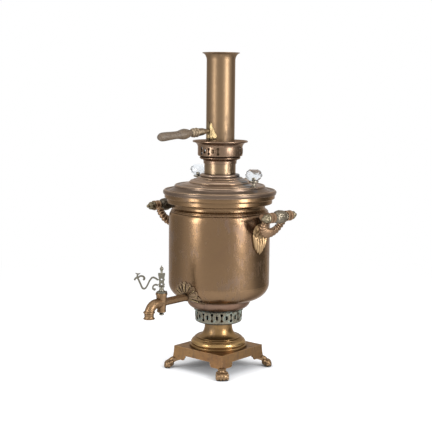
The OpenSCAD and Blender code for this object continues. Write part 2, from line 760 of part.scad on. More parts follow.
// Pipe, plug housing and spout, cast in one piece
module tap_body() {
    bend_y = tap_y - spout_reach + bend_r;
    z_bend = z_tap - bend_r;
    color("darkgoldenrod") difference() {
        union() {
            difference() {
                translate([0, tap_y, z_tap]) rotate([-90, 0, 0]) rotate([0, 0, 22.5])
                    cylinder(h = body_r, r = pipe_w / 2 / cos(22.5), $fn = 8);
                vessel_core(shell_t + rib_t + solder);
            }
            translate([0, tap_y, z_tap]) rotate([-90, 0, 0])
                cylinder(h = tap_reach + spigot_in, r = spigot_r);
            translate([0, tap_y, z_barrel]) {
                cylinder(h = barrel_h, r1 = barrel_foot_r, r2 = barrel_r);
                translate([0, 0, barrel_h - 4]) cylinder(h = 4, r = barrel_r + 0.8);
                cylinder(h = 3, r = barrel_foot_r + 0.8);
            }
            translate([0, bend_y, z_tap]) rotate([-90, 0, 0]) cylinder(h = bend_r, r = spout_r);
            translate([0, bend_y, z_bend]) elbow(spout_r);
            translate([0, tap_y - spout_reach, z_bend + 6]) turned(concat([[spout_r - 4, -2.4]],
                arc([spout_r - 0.4, 0], 2.8, 2.4, -80, 80, 6), [[spout_r - 4, 2.4]]));
            translate([0, tap_y - spout_reach, z_bend]) turned([[0, 0], [spout_r, 0],
                [spout_r - 0.6, -3], [outlet_r + 3.2, -6], [outlet_r + 5, -7.4],
                [outlet_r + 5, -8.6], [outlet_r + 4.6, -outlet_drop], [0, -outlet_drop]]);
        }
        translate([0, tap_y, 0]) plug_cone(1, plug_clear);
        translate([0, bend_y, z_tap]) rotate([-90, 0, 0])
            cylinder(h = tap_reach + spigot_in + spout_reach - bend_r + 1, r = water_r);
        translate([0, bend_y, z_bend]) elbow(water_r);
        translate([0, tap_y - spout_reach, z_bend]) turned([[0, 0], [water_r, 0],
            [outlet_r, -outlet_drop / 2], [outlet_r, -outlet_drop - 1], [0, -outlet_drop - 1]]);
    }
}

// Plug and the upright ornament of the key, in one piece
module tap_key() {
    z_top = z_barrel + barrel_h;
    plate_h = key_h - 31;
    half = [[7.4, 13], [6, 16], [7.4, 18.5], [5.6, 22], [5.6, 27], [7.4, 30], [6, 33],
        [7.8, 13 + plate_h - 4], [7.8, 13 + plate_h], [3, 13 + plate_h]];
    color("darkkhaki") translate([0, tap_y, 0]) rotate(key_turn) {
        difference() {
            union() {
                plug_cone(0.1, 0);
                translate([0, 0, z_barrel - 8]) cylinder(h = 10, r = 3);
                translate([0, 0, z_top]) turned([[0, -2], [0, 14], [4.5, 14], [5, 8], [6.5, 5],
                    [10, 3.5], [11.5, 2.6], [11.5, 0.1], [plug_r - 1, 0.1], [plug_r - 1, -2]]);
                translate([0, 0, z_top]) rotate([90, 0, 0]) linear_extrude(4, center = true)
                    polygon(concat(half, [for (p = reversed(half)) [-p[0], p[1]]]));
                translate([-12.5, 0, z_top + 3]) rotate([0, 90, 0]) cylinder(h = 12, r = 1.8);
                translate([0, 0, z_top + 12 + plate_h]) turned(concat(
                    [[0, 0], [2.6, 0], [2, 4], [3.2, 5.5]],
                    arc([0, 10.5], 4.2, 4.6, -50, 68, 7), [[1.2, 17], [0, 19]]));
            }
            // The plug's water way lies along the branch
            translate([0, 0, z_tap]) rotate([0, 90, 0])
                cylinder(h = 4 * plug_r, r = water_r, center = true);
            for (z = [19.5, 30.5]) translate([0, 0, z_top + z]) rotate([90, 0, 0])
                cylinder(h = 20, r = 2, center = true);
        }
    }
}

// Scrolled branch by which the key is turned
module key_branch() {
    z_top = z_barrel + barrel_h;
    stroke = 3.6;
    main = smooth([[8.2, 29], [14.5, 33.5], [21, 34.5], [27, 27], [31.5, 17.5], [37, 9.5],
        [43, 10.5], [47, 19], [51, 28], [54.5, 36], [53, 42]], 4);
    curl = smooth([[53.6, 33], [48, 37.5], [41.5, 37], [38, 32.5], [39.5, 29.5]], 3);
    leaf = smooth([[53, 33], [57, 33.5], [60.5, 30]], 3);
    low = smooth([[8.2, 16.5], [13, 18.5], [18.5, 15.5], [19.5, 9.5], [15.5, 6.5]], 3);
    color("darkkhaki") translate([0, tap_y, z_top]) rotate(key_turn) rotate([90, 0, 0])
        linear_extrude(stroke, center = true) {
            for (path = [main, curl, leaf, low])
                polygon(wall(beside(path, -stroke / 2), stroke));
            translate([39.5, 30.5]) circle(2.6);
            translate([15.5, 7.5]) circle(2.6);
            polygon([[47, 44.5], [50.5, 41], [55.5, 41], [59, 44.5], [53, 43.4]]);
            translate([60, 30]) circle(2.2);
        }
}

module key_nut() {
    color("dimgray") translate([0, tap_y, z_barrel]) turned(concat(
        [[3 + solder, -0.15], [8.5, -0.15], [8.5, -1.4], [5.8, -1.8], [4, -2.4]],
        arc([2.8, -5.6], 2.8, 2.6, 70, -70, 6), [[3 + solder, -8]]));
}

// ---------------------------------------------------------------- lid

collar_r = tube_r + 10;
collar_gap = 0.6;
function lid_x(share) = mix(collar_r, lid_r, share);
knob_x = lid_x(0.585);
vent_x = lid_x(0.46);
seat_r = 9;
z_knob_seat = z_lid + 22;
z_vent_seat = z_lid + 27;
vent_seat_t = 5.6;
vent_cap_t = 4.5;
pin_r = 1.5;
knob_stud_r = 2.6;

module lid() {
    top = concat([[collar_r - 3, z_lid_top - 6], [collar_r, z_lid_top - 6.5]],
        smooth([[lid_x(0.02), z_lid_top - 7], [lid_x(0.13), z_lid_top - 12],
            [lid_x(0.25), z_lid_top - 15]], 3),
        [[lid_x(0.27), z_lid + 30.5], [lid_x(0.295), z_lid + 27], [lid_x(0.32), z_lid + 26],
         [lid_x(0.46), z_lid + 23], [lid_x(0.6), z_lid + 19.7], [lid_x(0.64), z_lid + 20.5],
         [lid_x(0.68), z_lid + 20.3], [lid_x(0.695), z_lid + 18.8], [lid_x(0.695), z_lid + 15.6],
         [lid_x(0.71), z_lid + 14.4], [lid_x(0.77), z_lid + 10.8], [lid_x(0.84), z_lid + 8],
         [lid_x(0.9), z_lid + 7.6], [lid_x(0.95), z_lid + 9]],
        arc([lid_r - 3.5, z_lid + 5], 3.5, 3.8, 80, -10, 5),
        [[lid_r - 1.2, z_lid], [skirt_r, z_lid], [skirt_r, z_lid - skirt_h]]);
    hole_r = tube_r + collar_gap;
    collar = concat([[hole_r, z_lid_top - 8], [collar_r, z_lid_top - 8]],
        arc([collar_r - 3.5, z_lid_top - 3.5], 3.5, 3.5, -50, 90, 8),
        [[hole_r + 0.8, z_lid_top], [hole_r, z_lid_top - 0.8]]);
    color("peru") difference() {
        union() {
            turned(wall(top, -sheet_t));
            turned(collar);
            for (angle = knob_angles) rotate([0, 0, angle]) translate([knob_x, 0, z_lid + 18])
                cylinder(h = z_knob_seat - z_lid - 18, r = seat_r);
            rotate([0, 0, vent_angle]) translate([vent_x, 0, z_vent_seat - vent_seat_t])
                cylinder(h = vent_seat_t, r = vent_d / 2 + 0.6);
        }
        for (angle = knob_angles) rotate([0, 0, angle]) translate([knob_x, 0, z_lid + 10])
            cylinder(h = 20, r = knob_stud_r + solder);
        rotate([0, 0, vent_angle]) translate([vent_x, 0, z_lid + 10]) {
            cylinder(h = 20, r = pin_r + solder);
            vent_holes(0);
        }
    }
}

// Three steam holes on a circle
module vent_holes(turn) {
    for (i = [0:2]) rotate([0, 0, turn + 120 * i]) translate([vent_d * 0.3, 0, 0])
        cylinder(h = 40, r = 1.8);
}

// The cap shuts the vent at rest and opens it when turned by 60 degrees
module vent_cap() {
    color("dimgray") rotate([0, 0, vent_angle]) translate([vent_x, 0, z_vent_seat]) difference() {
        turned(concat([[pin_r + 0.1, 0], [vent_d / 2, 0], [vent_d / 2, 1.5]],
            arc([3, 1.5], vent_d / 2 - 3.5, vent_cap_t - 1.5, 5, 80, 5), [[pin_r + 0.1, vent_cap_t]]));
        translate([0, 0, -1]) vent_holes(60);
    }
}

module vent_pin() {
    color("tan") rotate([0, 0, vent_angle]) translate([vent_x, 0, z_vent_seat]) {
        translate([0, 0, -vent_seat_t - 1.8]) cylinder(h = vent_seat_t + vent_cap_t + 2.3, r = pin_r);
        translate([0, 0, vent_cap_t + 0.1]) turned(concat([[0, 0], [3, 0]], arc([0, 0], 3, 2, 10, 90, 4)));
        translate([0, 0, -vent_seat_t - 2]) cylinder(h = 1, r = 2.6);
    }
}

// Metal stem, collar and stud of a lid knob
module knob_stem(angle) {
    z_cup_top = knob_rise - (z_knob_seat - z_lid) - knob_h / 2 + 2;
    color("darkkhaki") rotate([0, 0, angle]) translate([knob_x, 0, z_knob_seat]) {
        turned(concat([[0, 0], [6.5, 0], [6.5, 1.5], [3.6, 3], [3.4, z_cup_top - 6]],
            [[10.5, z_cup_top - 4], [11.3, z_cup_top - 2.5], [11.3, z_cup_top - 1], [0, z_cup_top - 1]]));
        translate([0, 0, z_cup_top - 2]) cylinder(h = 12, r = 3);
        translate([0, 0, -11]) cylinder(h = 12, r = knob_stud_r);
    }
}
module knob_stem_right() { knob_stem(knob_angles[0]); }
module knob_stem_left() { knob_stem(knob_angles[1]); }

// Cut-glass knob with flat sides
module knob_glass(angle) {
    r = knob_d / 2;
    half = knob_h / 2;
    profile = [[0, -half + 1.2], [0.52 * r, -half + 1.2], [0.84 * r, -0.55 * half], [r, -0.12 * half],
        [r, 0.2 * half], [0.8 * r, 0.68 * half], [0.45 * r, 0.94 * half], [0, half]];
    color("lightcyan") rotate([0, 0, angle]) translate([knob_x, 0, z_lid + knob_rise]) difference() {
        rotate_extrude($fn = 12) polygon(profile);
        translate([0, 0, -half]) cylinder(h = 13, r = 3.1);
    }
}
module knob_glass_right() { knob_glass(knob_angles[0]); }
module knob_glass_left() { knob_glass(knob_angles[1]); }

module knob_nuts() {
    nut_t = 4.5;
    color("darkgoldenrod") for (angle = knob_angles)
        rotate([0, 0, angle]) translate([knob_x, 0, z_lid + 18 - nut_t]) difference() {
            cylinder(h = nut_t, r = 5.5, $fn = 6);
            translate([0, 0, -1]) cylinder(h = nut_t + 2, r = knob_stud_r + solder);
        }
}

// ---------------------------------------------------------------- crown

module crown() {
    z_band = z_floor + 11;                  // lower edge of the pierced band
    z_rim = z_crown + crown_h;
    collar_in = tube_r + tube_clear;
    outside = concat([[collar_in + 1.4, z_crown], [collar_in + 1.8, z_floor - 4.5]],
        arc([collar_in + 9, z_floor - 3.9], 7.2, 4.8, 180, 95, 5),
        arc([band_r - 6.4, z_floor + 4], 2, 2, -75, 80, 5),
        [[band_r - 4.5, z_floor + 7.6], [band_r - 0.6, z_floor + 9], [band_r, z_floor + 10.5],
         [band_r, z_rim - 14]],
        arc([crown_r - 2.5, z_rim - 16.5], crown_r - band_r - 2.5, 12, 170, 100, 6),
        arc([crown_r - 1.8, z_rim - 2.2], 1.9, 2.1, -70, 90, 6));
    inside = [[crown_r - 4, z_rim - 1.5], [band_r + 3.2, z_rim - 6.5], [band_r - 1.2, z_rim - 11.5],
        [band_r - 1.8, z_rim - 15], [band_r - 1.8, z_band], [band_r - 6, z_floor + 9.4],
        [band_r - 7.6, z_floor + 7], [band_r - 8.3, z_floor + 3.8], [band_r - 12, z_floor + 1.8],
        [band_r - 14.5, z_floor], [chimney_r + 0.6, z_floor],
        [chimney_r + 0.6, z_tube_top], [collar_in, z_tube_top], [collar_in, z_crown]];
    z_mid = (z_band + z_rim - 14) / 2;
    opening_h = z_rim - 14 - z_band - 1;
    color("peru") difference() {
        union() {
            turned(concat(outside, inside));
            for (group = [0:crown_groups - 1], i = [-1, 1])
                radial(crown_turn + group * 360 / crown_groups + i * crown_pitch,
                    band_r - 1.8, z_mid, 2.6) slot(14.5, 9.5);
        }
        for (group = [0:crown_groups - 1], i = [-2:2])
            radial(crown_turn + group * 360 / crown_groups + i * crown_pitch, band_r - 8, z_mid, 16)
                if (i % 2 == 0) dumbbell(opening_h, 2.7, 2.6); else slot(8.5, 4.4);
    }
}

// ---------------------------------------------------------------- chimney

z_mouth = z_floor + chimney_h;
module chimney_pipe() {
    stop_r = chimney_r + 2.8;               // ring that rests on the crown's floor
    outside = concat([[chimney_r, z_tube_top - chimney_depth], [chimney_r, z_mouth - flare_h]],
        arc([flare_d / 2, z_mouth - flare_h], flare_d / 2 - chimney_r, flare_h, 172, 95, 9));
    color("darkkhaki") union() {
        turned(wall(outside, sheet_t));
        translate([0, 0, z_floor]) turned(concat([[chimney_r - 0.5, 0], [stop_r - 1, 0]],
            arc([stop_r - 1.6, 1.9], 1.6, 1.9, -60, 90, 5), [[chimney_r - 0.5, 3.8]]));
    }
}

// Places a piece on the handle's own axis, which starts at the chimney's wall
module on_handle() {
    rotate([0, 0, handle_angle]) translate([chimney_r, 0, z_floor + handle_rise])
        rotate([0, 90 + handle_droop, 0]) children();
}

grip_len_out = handle_len - ferrule_len;   // length of the wooden part
tang_r = 3;
tang_in = 40;                               // how far the tang reaches into the wood

module chimney_bracket() {
    plate_t = 2.4;
    leaf = smooth([[0, -22], [4.5, -16], [8, -6], [6.2, 1], [9, 8], [5.4, 14], [0, 21]], 3);
    color("darkkhaki") difference() {
        union() {
            intersection() {
                radial(handle_angle, chimney_r - 20, z_floor + handle_rise, 40)
                    polygon(concat(leaf, [for (p = reversed(leaf)) [-p[0], p[1]]]));
                difference() {
                    cylinder(h = z_mouth, r = chimney_r + plate_t);
                    translate([0, 0, -1]) cylinder(h = z_mouth + 2, r = chimney_r + solder);
                }
            }
            difference() {
                on_handle() cylinder(h = 7, r = 5.4);
                cylinder(h = z_mouth, r = chimney_r + solder);
            }
        }
        on_handle() translate([0, 0, 2.5]) cylinder(h = 20, r = tang_r + solder);
    }
}

module chimney_ferrule() {
    rings = 4;
    ring_w = 4;
    rings_from = ferrule_len - 2 - rings * ring_w;
    profile = concat([[tang_r + solder, 7], [5.2, 7], [6.3, 12], [8.4, 19], [9.4, rings_from]],
        [for (i = [0:rings - 1]) each arc([9, rings_from + (i + 0.5) * ring_w],
            i % 2 == 0 ? 2.1 : 1.4, ring_w / 2 - 0.15, -80, 80, 4)],
        [[8, ferrule_len], [tang_r + solder, ferrule_len]]);
    color("darkkhaki") on_handle() turned(profile);
}

module chimney_grip() {
    bulb_r = grip_bulb_d / 2;
    // Radius of the grip at shares of its length
    form = smooth([[7, 0], [7.2, 0.03], [bulb_r - 2, 0.1], [bulb_r, 0.2], [bulb_r - 0.6, 0.29],
        [9.2, 0.4], [9.2, 0.56], [9.9, 0.72], [10.2, 0.85], [8.6, 0.93], [4.4, 0.987]], 3);
    color("rosybrown") on_handle() difference() {
        turned(concat([[0, ferrule_len]],
            [for (p = form) [p[0], ferrule_len + p[1] * grip_len_out]], [[0, handle_len]]));
        translate([0, 0, ferrule_len - 1]) cylinder(h = tang_in + 2, r = tang_r + solder);
    }
}

module chimney_tang() {
    color("tan") on_handle() translate([0, 0, 3])
        cylinder(h = ferrule_len + tang_in - 3, r = tang_r);
}

base_plate();
foot_front_left();
foot_front_right();
foot_back_left();
foot_back_right();
pedestal();
gallery();
cup();
grate();
vessel();
shoulder_ring();
fire_tube();
handle_shell_right();
handle_shell_left();
handle_yoke_right();
handle_yoke_left();
grip_right();
grip_left();
grip_rod_right();
grip_rod_left();
grip_buttons_right();
grip_buttons_left();
handle_nuts();
tap_shell();
tap_body();
tap_nut();
tap_seal();
tap_key();
key_branch();
key_nut();
lid();
knob_stem_right();
knob_stem_left();
knob_glass_right();
knob_glass_left();
knob_nuts();
vent_cap();
vent_pin();
crown();
chimney_pipe();
chimney_bracket();
chimney_ferrule();
chimney_grip();
chimney_tang();
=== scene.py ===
import math

import bpy
from mathutils import Matrix, Vector


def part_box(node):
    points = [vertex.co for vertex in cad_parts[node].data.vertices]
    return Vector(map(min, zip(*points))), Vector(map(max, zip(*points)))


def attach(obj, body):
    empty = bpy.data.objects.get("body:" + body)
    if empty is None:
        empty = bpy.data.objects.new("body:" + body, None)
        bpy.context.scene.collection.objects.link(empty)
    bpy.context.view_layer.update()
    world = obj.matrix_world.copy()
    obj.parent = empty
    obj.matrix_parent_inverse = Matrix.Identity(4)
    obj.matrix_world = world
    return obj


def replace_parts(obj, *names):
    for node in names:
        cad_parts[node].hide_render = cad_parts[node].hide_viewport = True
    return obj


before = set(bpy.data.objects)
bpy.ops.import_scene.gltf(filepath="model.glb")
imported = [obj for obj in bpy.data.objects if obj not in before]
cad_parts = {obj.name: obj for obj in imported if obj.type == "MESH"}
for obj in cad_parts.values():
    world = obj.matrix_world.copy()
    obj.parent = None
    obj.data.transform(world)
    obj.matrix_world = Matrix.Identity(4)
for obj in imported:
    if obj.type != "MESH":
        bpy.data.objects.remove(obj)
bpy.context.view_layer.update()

MM = 0.001

# ---------------------------------------------------------------- small helpers


def srgb(red, green, blue):
    """Linear colour of an sRGB one, whose channels run from 0 to 255."""
    def linear(value):
        value /= 255
        return value / 12.92 if value <= 0.04045 else ((value + 0.055) / 1.055) ** 2.4
    return (linear(red), linear(green), linear(blue), 1.0)


class Nodes:
    """Short calls for building one node tree."""

    def __init__(self, tree):
        tree.nodes.clear()
        self.tree = tree

    def add(self, kind, **settings):
        node = self.tree.nodes.new("ShaderNode" + kind)
        for key, value in settings.items():
            setattr(node, key, value)
        return node

    def link(self, source, node, socket):
        self.tree.links.new(source, node.inputs[socket])

    def fill(self, node, values):
        """Gives sockets of a node their values, which are outputs or fixed ones."""
        for socket, value in values:
            if isinstance(value, bpy.types.NodeSocket):
                self.link(value, node, socket)
            else:
                node.inputs[socket].default_value = value

    def noise(self, vector, scale, detail, roughness):
        node = self.add("TexNoise")
        node.inputs["Scale"].default_value = scale
        node.inputs["Detail"].default_value = detail
        node.inputs["Roughness"].default_value = roughness
        self.link(vector, node, "Vector")
        return node.outputs["Fac"]

    def stretched(self, vector, scale):
        node = self.add("Mapping")
        node.inputs["Scale"].default_value = scale
        self.link(vector, node, "Vector")
        return node.outputs["Vector"]

    def ramp(self, value, low, high):
        """0 below low, 1 above high, smooth between."""
        node = self.add("MapRange", interpolation_type="SMOOTHSTEP")
        node.inputs["From Min"].default_value = low
        node.inputs["From Max"].default_value = high
        self.link(value, node, "Value")
        return node.outputs["Result"]

    def between(self, share, start, end):
        """start where a share is 0, and end where it is 1."""
        node = self.add("MapRange")
        node.inputs["To Min"].default_value = start
        node.inputs["To Max"].default_value = end
        self.link(share, node, "Value")
        return node.outputs["Result"]

    def height(self, place):
        node = self.add("SeparateXYZ")
        self.link(place, node, "Vector")
        return node.outputs["Z"]

    def measure(self, operation, *vectors):
        """The number that a vector operation gives."""
        node = self.add("VectorMath", operation=operation)
        self.fill(node, enumerate(vectors))
        return node.outputs["Value"]

    def from_line(self, place, start, end):
        """Distance in plan from the line between two points."""
        start = Vector((*start, 0))
        line = Vector((*end, 0)) - start
        away = self.add("VectorMath", operation="SUBTRACT")
        self.fill(away, enumerate((self.stretched(place, (1, 1, 0)), start)))
        along = self.add("Clamp")
        share = self.measure("DOT_PRODUCT", away.outputs["Vector"], line / line.length_squared)
        self.link(share, along, "Value")
        foot = self.add("VectorMath", operation="SCALE")
        self.fill(foot, ((0, line), ("Scale", along.outputs["Result"])))
        return self.measure("DISTANCE", away.outputs["Vector"], foot.outputs["Vector"])

    def math(self, operation, first, second):
        node = self.add("Math", operation=operation)
        self.fill(node, enumerate((first, second)))
        return node.outputs["Value"]

    def times(self, first, second):
        return self.math("MULTIPLY", first, second)

    def without(self, value, share):
        """value where a share is 0, and nothing where it is 1."""
        return self.times(value, self.math("SUBTRACT", 1.0, share))

    def mix(self, share, first, second):
        """The first colour where a share is 0, and the second where it is 1."""
        node = self.add("Mix", data_type="RGBA")
        self.fill(node, ((0, share), (6, first), (7, second)))
        return node.outputs[2]


def new_material(name):
    material = bpy.data.materials.new(name)
    material.use_nodes = True
    return material, Nodes(material.node_tree)


# ---------------------------------------------------------------- materials


def principled(n):
    shader = n.add("BsdfPrincipled")
    n.link(shader.outputs["BSDF"], n.add("OutputMaterial"), "Surface")
    return shader


def bumps(n, shader, layers):
    """Stacks height layers, each (height output, distance in metres, strength)."""
    below = None
    for height, distance, strength in layers:
        bump = n.add("Bump")
        bump.inputs["Distance"].default_value = distance
        bump.inputs["Strength"].default_value = strength
        n.link(height, bump, "Height")
        if below:
            n.link(below.outputs["Normal"], bump, "Normal")
        below = bump
    n.link(below.outputs["Normal"], shader, "Normal")


def scaled(colour, factor):
    """A colour made brighter or darker by a factor, up to white."""
    return tuple(min(1, factor * channel) for channel in colour[:3]) + (1.0,)


WIPE_SCALE = (34, 34, 8)    # streaks of wiping run upright
# Colour of the painted shadow streak on the lid
PAINTED_SHADOW_COLOUR = srgb(42, 34, 28)
SOOT = srgb(34, 31, 29)
EDGE_TINT = (0.66, 0.58, 0.52, 1)


def aged_brass(name, bright, patina, dark, roughness=0.36, metallic=(0.92, 0.6),
               bright_share=0.5, patch=13.0, grime_and_shade=0.8, grime_and_shade_reach=0.010, pits=0.4, dents=0.0,
               scratches=0.0, spun=0.0, tint=None, crust=None, crust_share=0.0,
               soot_inside=0.0, soot_above=0.0, wear=0.6, rub=1.5, cast=0.0, painted_shade_below=None,
               painted_shadow_streak=None):
    """Old brass: bright where hands wiped it, brown patina in patches, grime and painted shade in
    the corners.

    bright, patina and dark are its colours, as 0 to 255 in sRGB. metallic is the share at
    bright and at dull places, bright_share how much is bright, and patch how small the
    patches are. tint is a colour for wide, faint blotches. grime_and_shade is how dark the
    corners are painted, with grime and painted shade, and grime_and_shade_reach how far that
    spreads. wear is how strongly worn edges show, and rub how much brighter they are. pits,
    cast and spun are the strengths of fine pits, of a sand-cast skin and of the lathe's lines,
    and dents is the depth of wide dents. crust is the colour of verdigris, and crust_share how
    much there is. soot_inside is a radius within which the metal is black above the height
    soot_above. painted_shade_below is two heights and a share: painted shade makes the metal
    darker below the first and leaves it unchanged above the second. painted_shadow_streak is
    a painted shadow, a dark streak: two points in plan and a half width."""
    material, n = new_material(name)
    bright, patina, dark = srgb(*bright), srgb(*patina), srgb(*dark)
    place = n.add("TexCoord").outputs["Object"]
    patches = n.noise(place, patch, 6, 0.62)
    streaks = n.noise(n.stretched(place, WIPE_SCALE), 4, 6, 0.66)
    speckle = n.noise(place, 150, 6, 0.75)
    wiped = n.math("ADD", n.times(patches, 0.62), n.times(streaks, 0.38))
    dull = n.ramp(wiped, 0.62 - 0.24 * bright_share, 0.44 - 0.24 * bright_share)
    tone = n.mix(dull, bright, patina)
    if tint:
        blotches = n.ramp(n.noise(place, 7, 4, 0.6), 0.5, 0.7)
        tone = n.mix(n.times(blotches, 0.55), tone, srgb(*tint))
    tone = n.mix(n.times(n.ramp(speckle, 0.57, 0.78), 0.5), tone, dark)
    if scratches:
        wander = n.noise(n.stretched(place, (26, 26, 15)), 1.2, 2, 0.4)
        line = n.ramp(n.math("ABSOLUTE", n.math("SUBTRACT", wander, 0.5), 0), 0.0042, 0.0)
        sparse = n.ramp(n.noise(place, 31, 3, 0.6), 0.5, 0.62)
        tone = n.mix(n.times(n.times(line, sparse), scratches), tone, scaled(bright, 1.7))
    # Painted shade: the metal goes darker below a height.
    if painted_shade_below:
        low, high, depth = painted_shade_below
        tone = n.mix(n.times(n.ramp(n.height(place), high, low), depth), tone, dark)
    # Painted shadow: a dark, ragged streak between two points in plan, with no metal in it.
    if painted_shadow_streak:
        start, end, half_width = painted_shadow_streak
        ragged = n.times(n.math("SUBTRACT", n.noise(place, 90, 4, 0.6), 0.5), 0.012)
        gap = n.math("ADD", n.from_line(place, start, end), ragged)
        painted_shadow = n.ramp(gap, half_width + 0.002, half_width - 0.003)
        tone = n.mix(n.times(painted_shadow, 0.93), tone, PAINTED_SHADOW_COLOUR)
    # Grime and painted shade: corners that ambient occlusion finds closed go dark, toward a
    # quarter of the dark colour.
    corners = n.add("AmbientOcclusion", samples=8)
    corners.inputs["Distance"].default_value = grime_and_shade_reach
    openness = corners.outputs["AO"]
    tone = n.mix(n.times(n.ramp(openness, 0.9, 0.35), grime_and_shade), tone, scaled(dark, 0.25))
    if wear:
        rounded = n.add("Bevel", samples=6)
        rounded.inputs["Radius"].default_value = 0.0014
        straight = n.add("NewGeometry").outputs["Normal"]
        edge = n.ramp(n.measure("DOT_PRODUCT", rounded.outputs["Normal"], straight), 0.99, 0.8)
        open_edge = n.times(edge, n.ramp(openness, 0.7, 0.95))
        tone = n.mix(n.times(open_edge, wear), tone, scaled(bright, rub))
    metal = n.between(dull, *metallic)
    if painted_shadow_streak:
        metal = n.without(metal, painted_shadow)
    if crust:
        spots = n.ramp(n.noise(place, 95, 8, 0.72), 0.62 - 0.22 * crust_share,
                       0.74 - 0.22 * crust_share)
        tone = n.mix(n.times(spots, 0.8), tone, srgb(*crust))
        metal = n.without(metal, spots)
    if soot_inside:
        radius = n.measure("LENGTH", n.stretched(place, (1, 1, 0)))
        inside = n.times(n.ramp(radius, soot_inside + 0.0006, soot_inside),
                         n.ramp(n.height(place), soot_above - 0.001, soot_above))
        tone = n.mix(inside, tone, SOOT)
        metal = n.without(metal, inside)
    shader = principled(n)
    shader.inputs["Specular Tint"].default_value = EDGE_TINT
    n.link(tone, shader, "Base Color")
    n.link(metal, shader, "Metallic")
    n.link(n.between(dull, roughness - 0.05, roughness + 0.13), shader, "Roughness")
    layers = [(n.noise(place, 800, 3, 0.6), 0.0002, pits)]
    if dents:
        layers.append((n.noise(place, 20, 2, 0.4), dents, 1.0))
    if cast:
        layers.append((n.noise(place, 170, 5, 0.65), 0.0011, cast))
    if spun:
        layers.append((n.noise(n.stretched(place, (2, 2, 700)), 1, 3, 0.7), 0.0003, spun))
    bumps(n, shader, layers)
    return material


def glass(name):
    """Cut glass, hardly rough."""
    material, n = new_material(name)
    shader = principled(n)
    shader.inputs["Base Color"].default_value = (0.84, 0.87, 0.9, 1)
    shader.inputs["Transmission Weight"].default_value = 1.0
    shader.inputs["IOR"].default_value = 1.52
    shader.inputs["Roughness"].default_value = 0.02
    place = n.add("TexCoord").outputs["Object"]
    bumps(n, shader, [(n.noise(place, 300, 2, 0.5), 0.0002, 0.08)])
    return material


def wood(name, pale, deep, worn):
    """Fibrous matter: wood with its grain along Y, or leather."""
    material, n = new_material(name)
    place = n.add("TexCoord").outputs["Object"]
    grain = n.noise(n.stretched(place, (200, 26, 200)), 3, 6, 0.65)
    tone = n.mix(n.ramp(grain, 0.3, 0.72), srgb(*pale), srgb(*deep))
    tone = n.mix(n.ramp(n.noise(place, 60, 4, 0.6), 0.45, 0.7), tone, srgb(*worn))
    shader = principled(n)
    shader.inputs["Roughness"].default_value = 0.55
    n.link(tone, shader, "Base Color")
    bumps(n, shader, [(grain, 0.0006, 0.35)])
    return material


SHEET = dict(dents=0.0005, scratches=0.5, pits=0.12)
CAST = dict(roughness=0.42, pits=0.9)
CARVED = dict(CAST, grime_and_shade=0.95, grime_and_shade_reach=0.006)

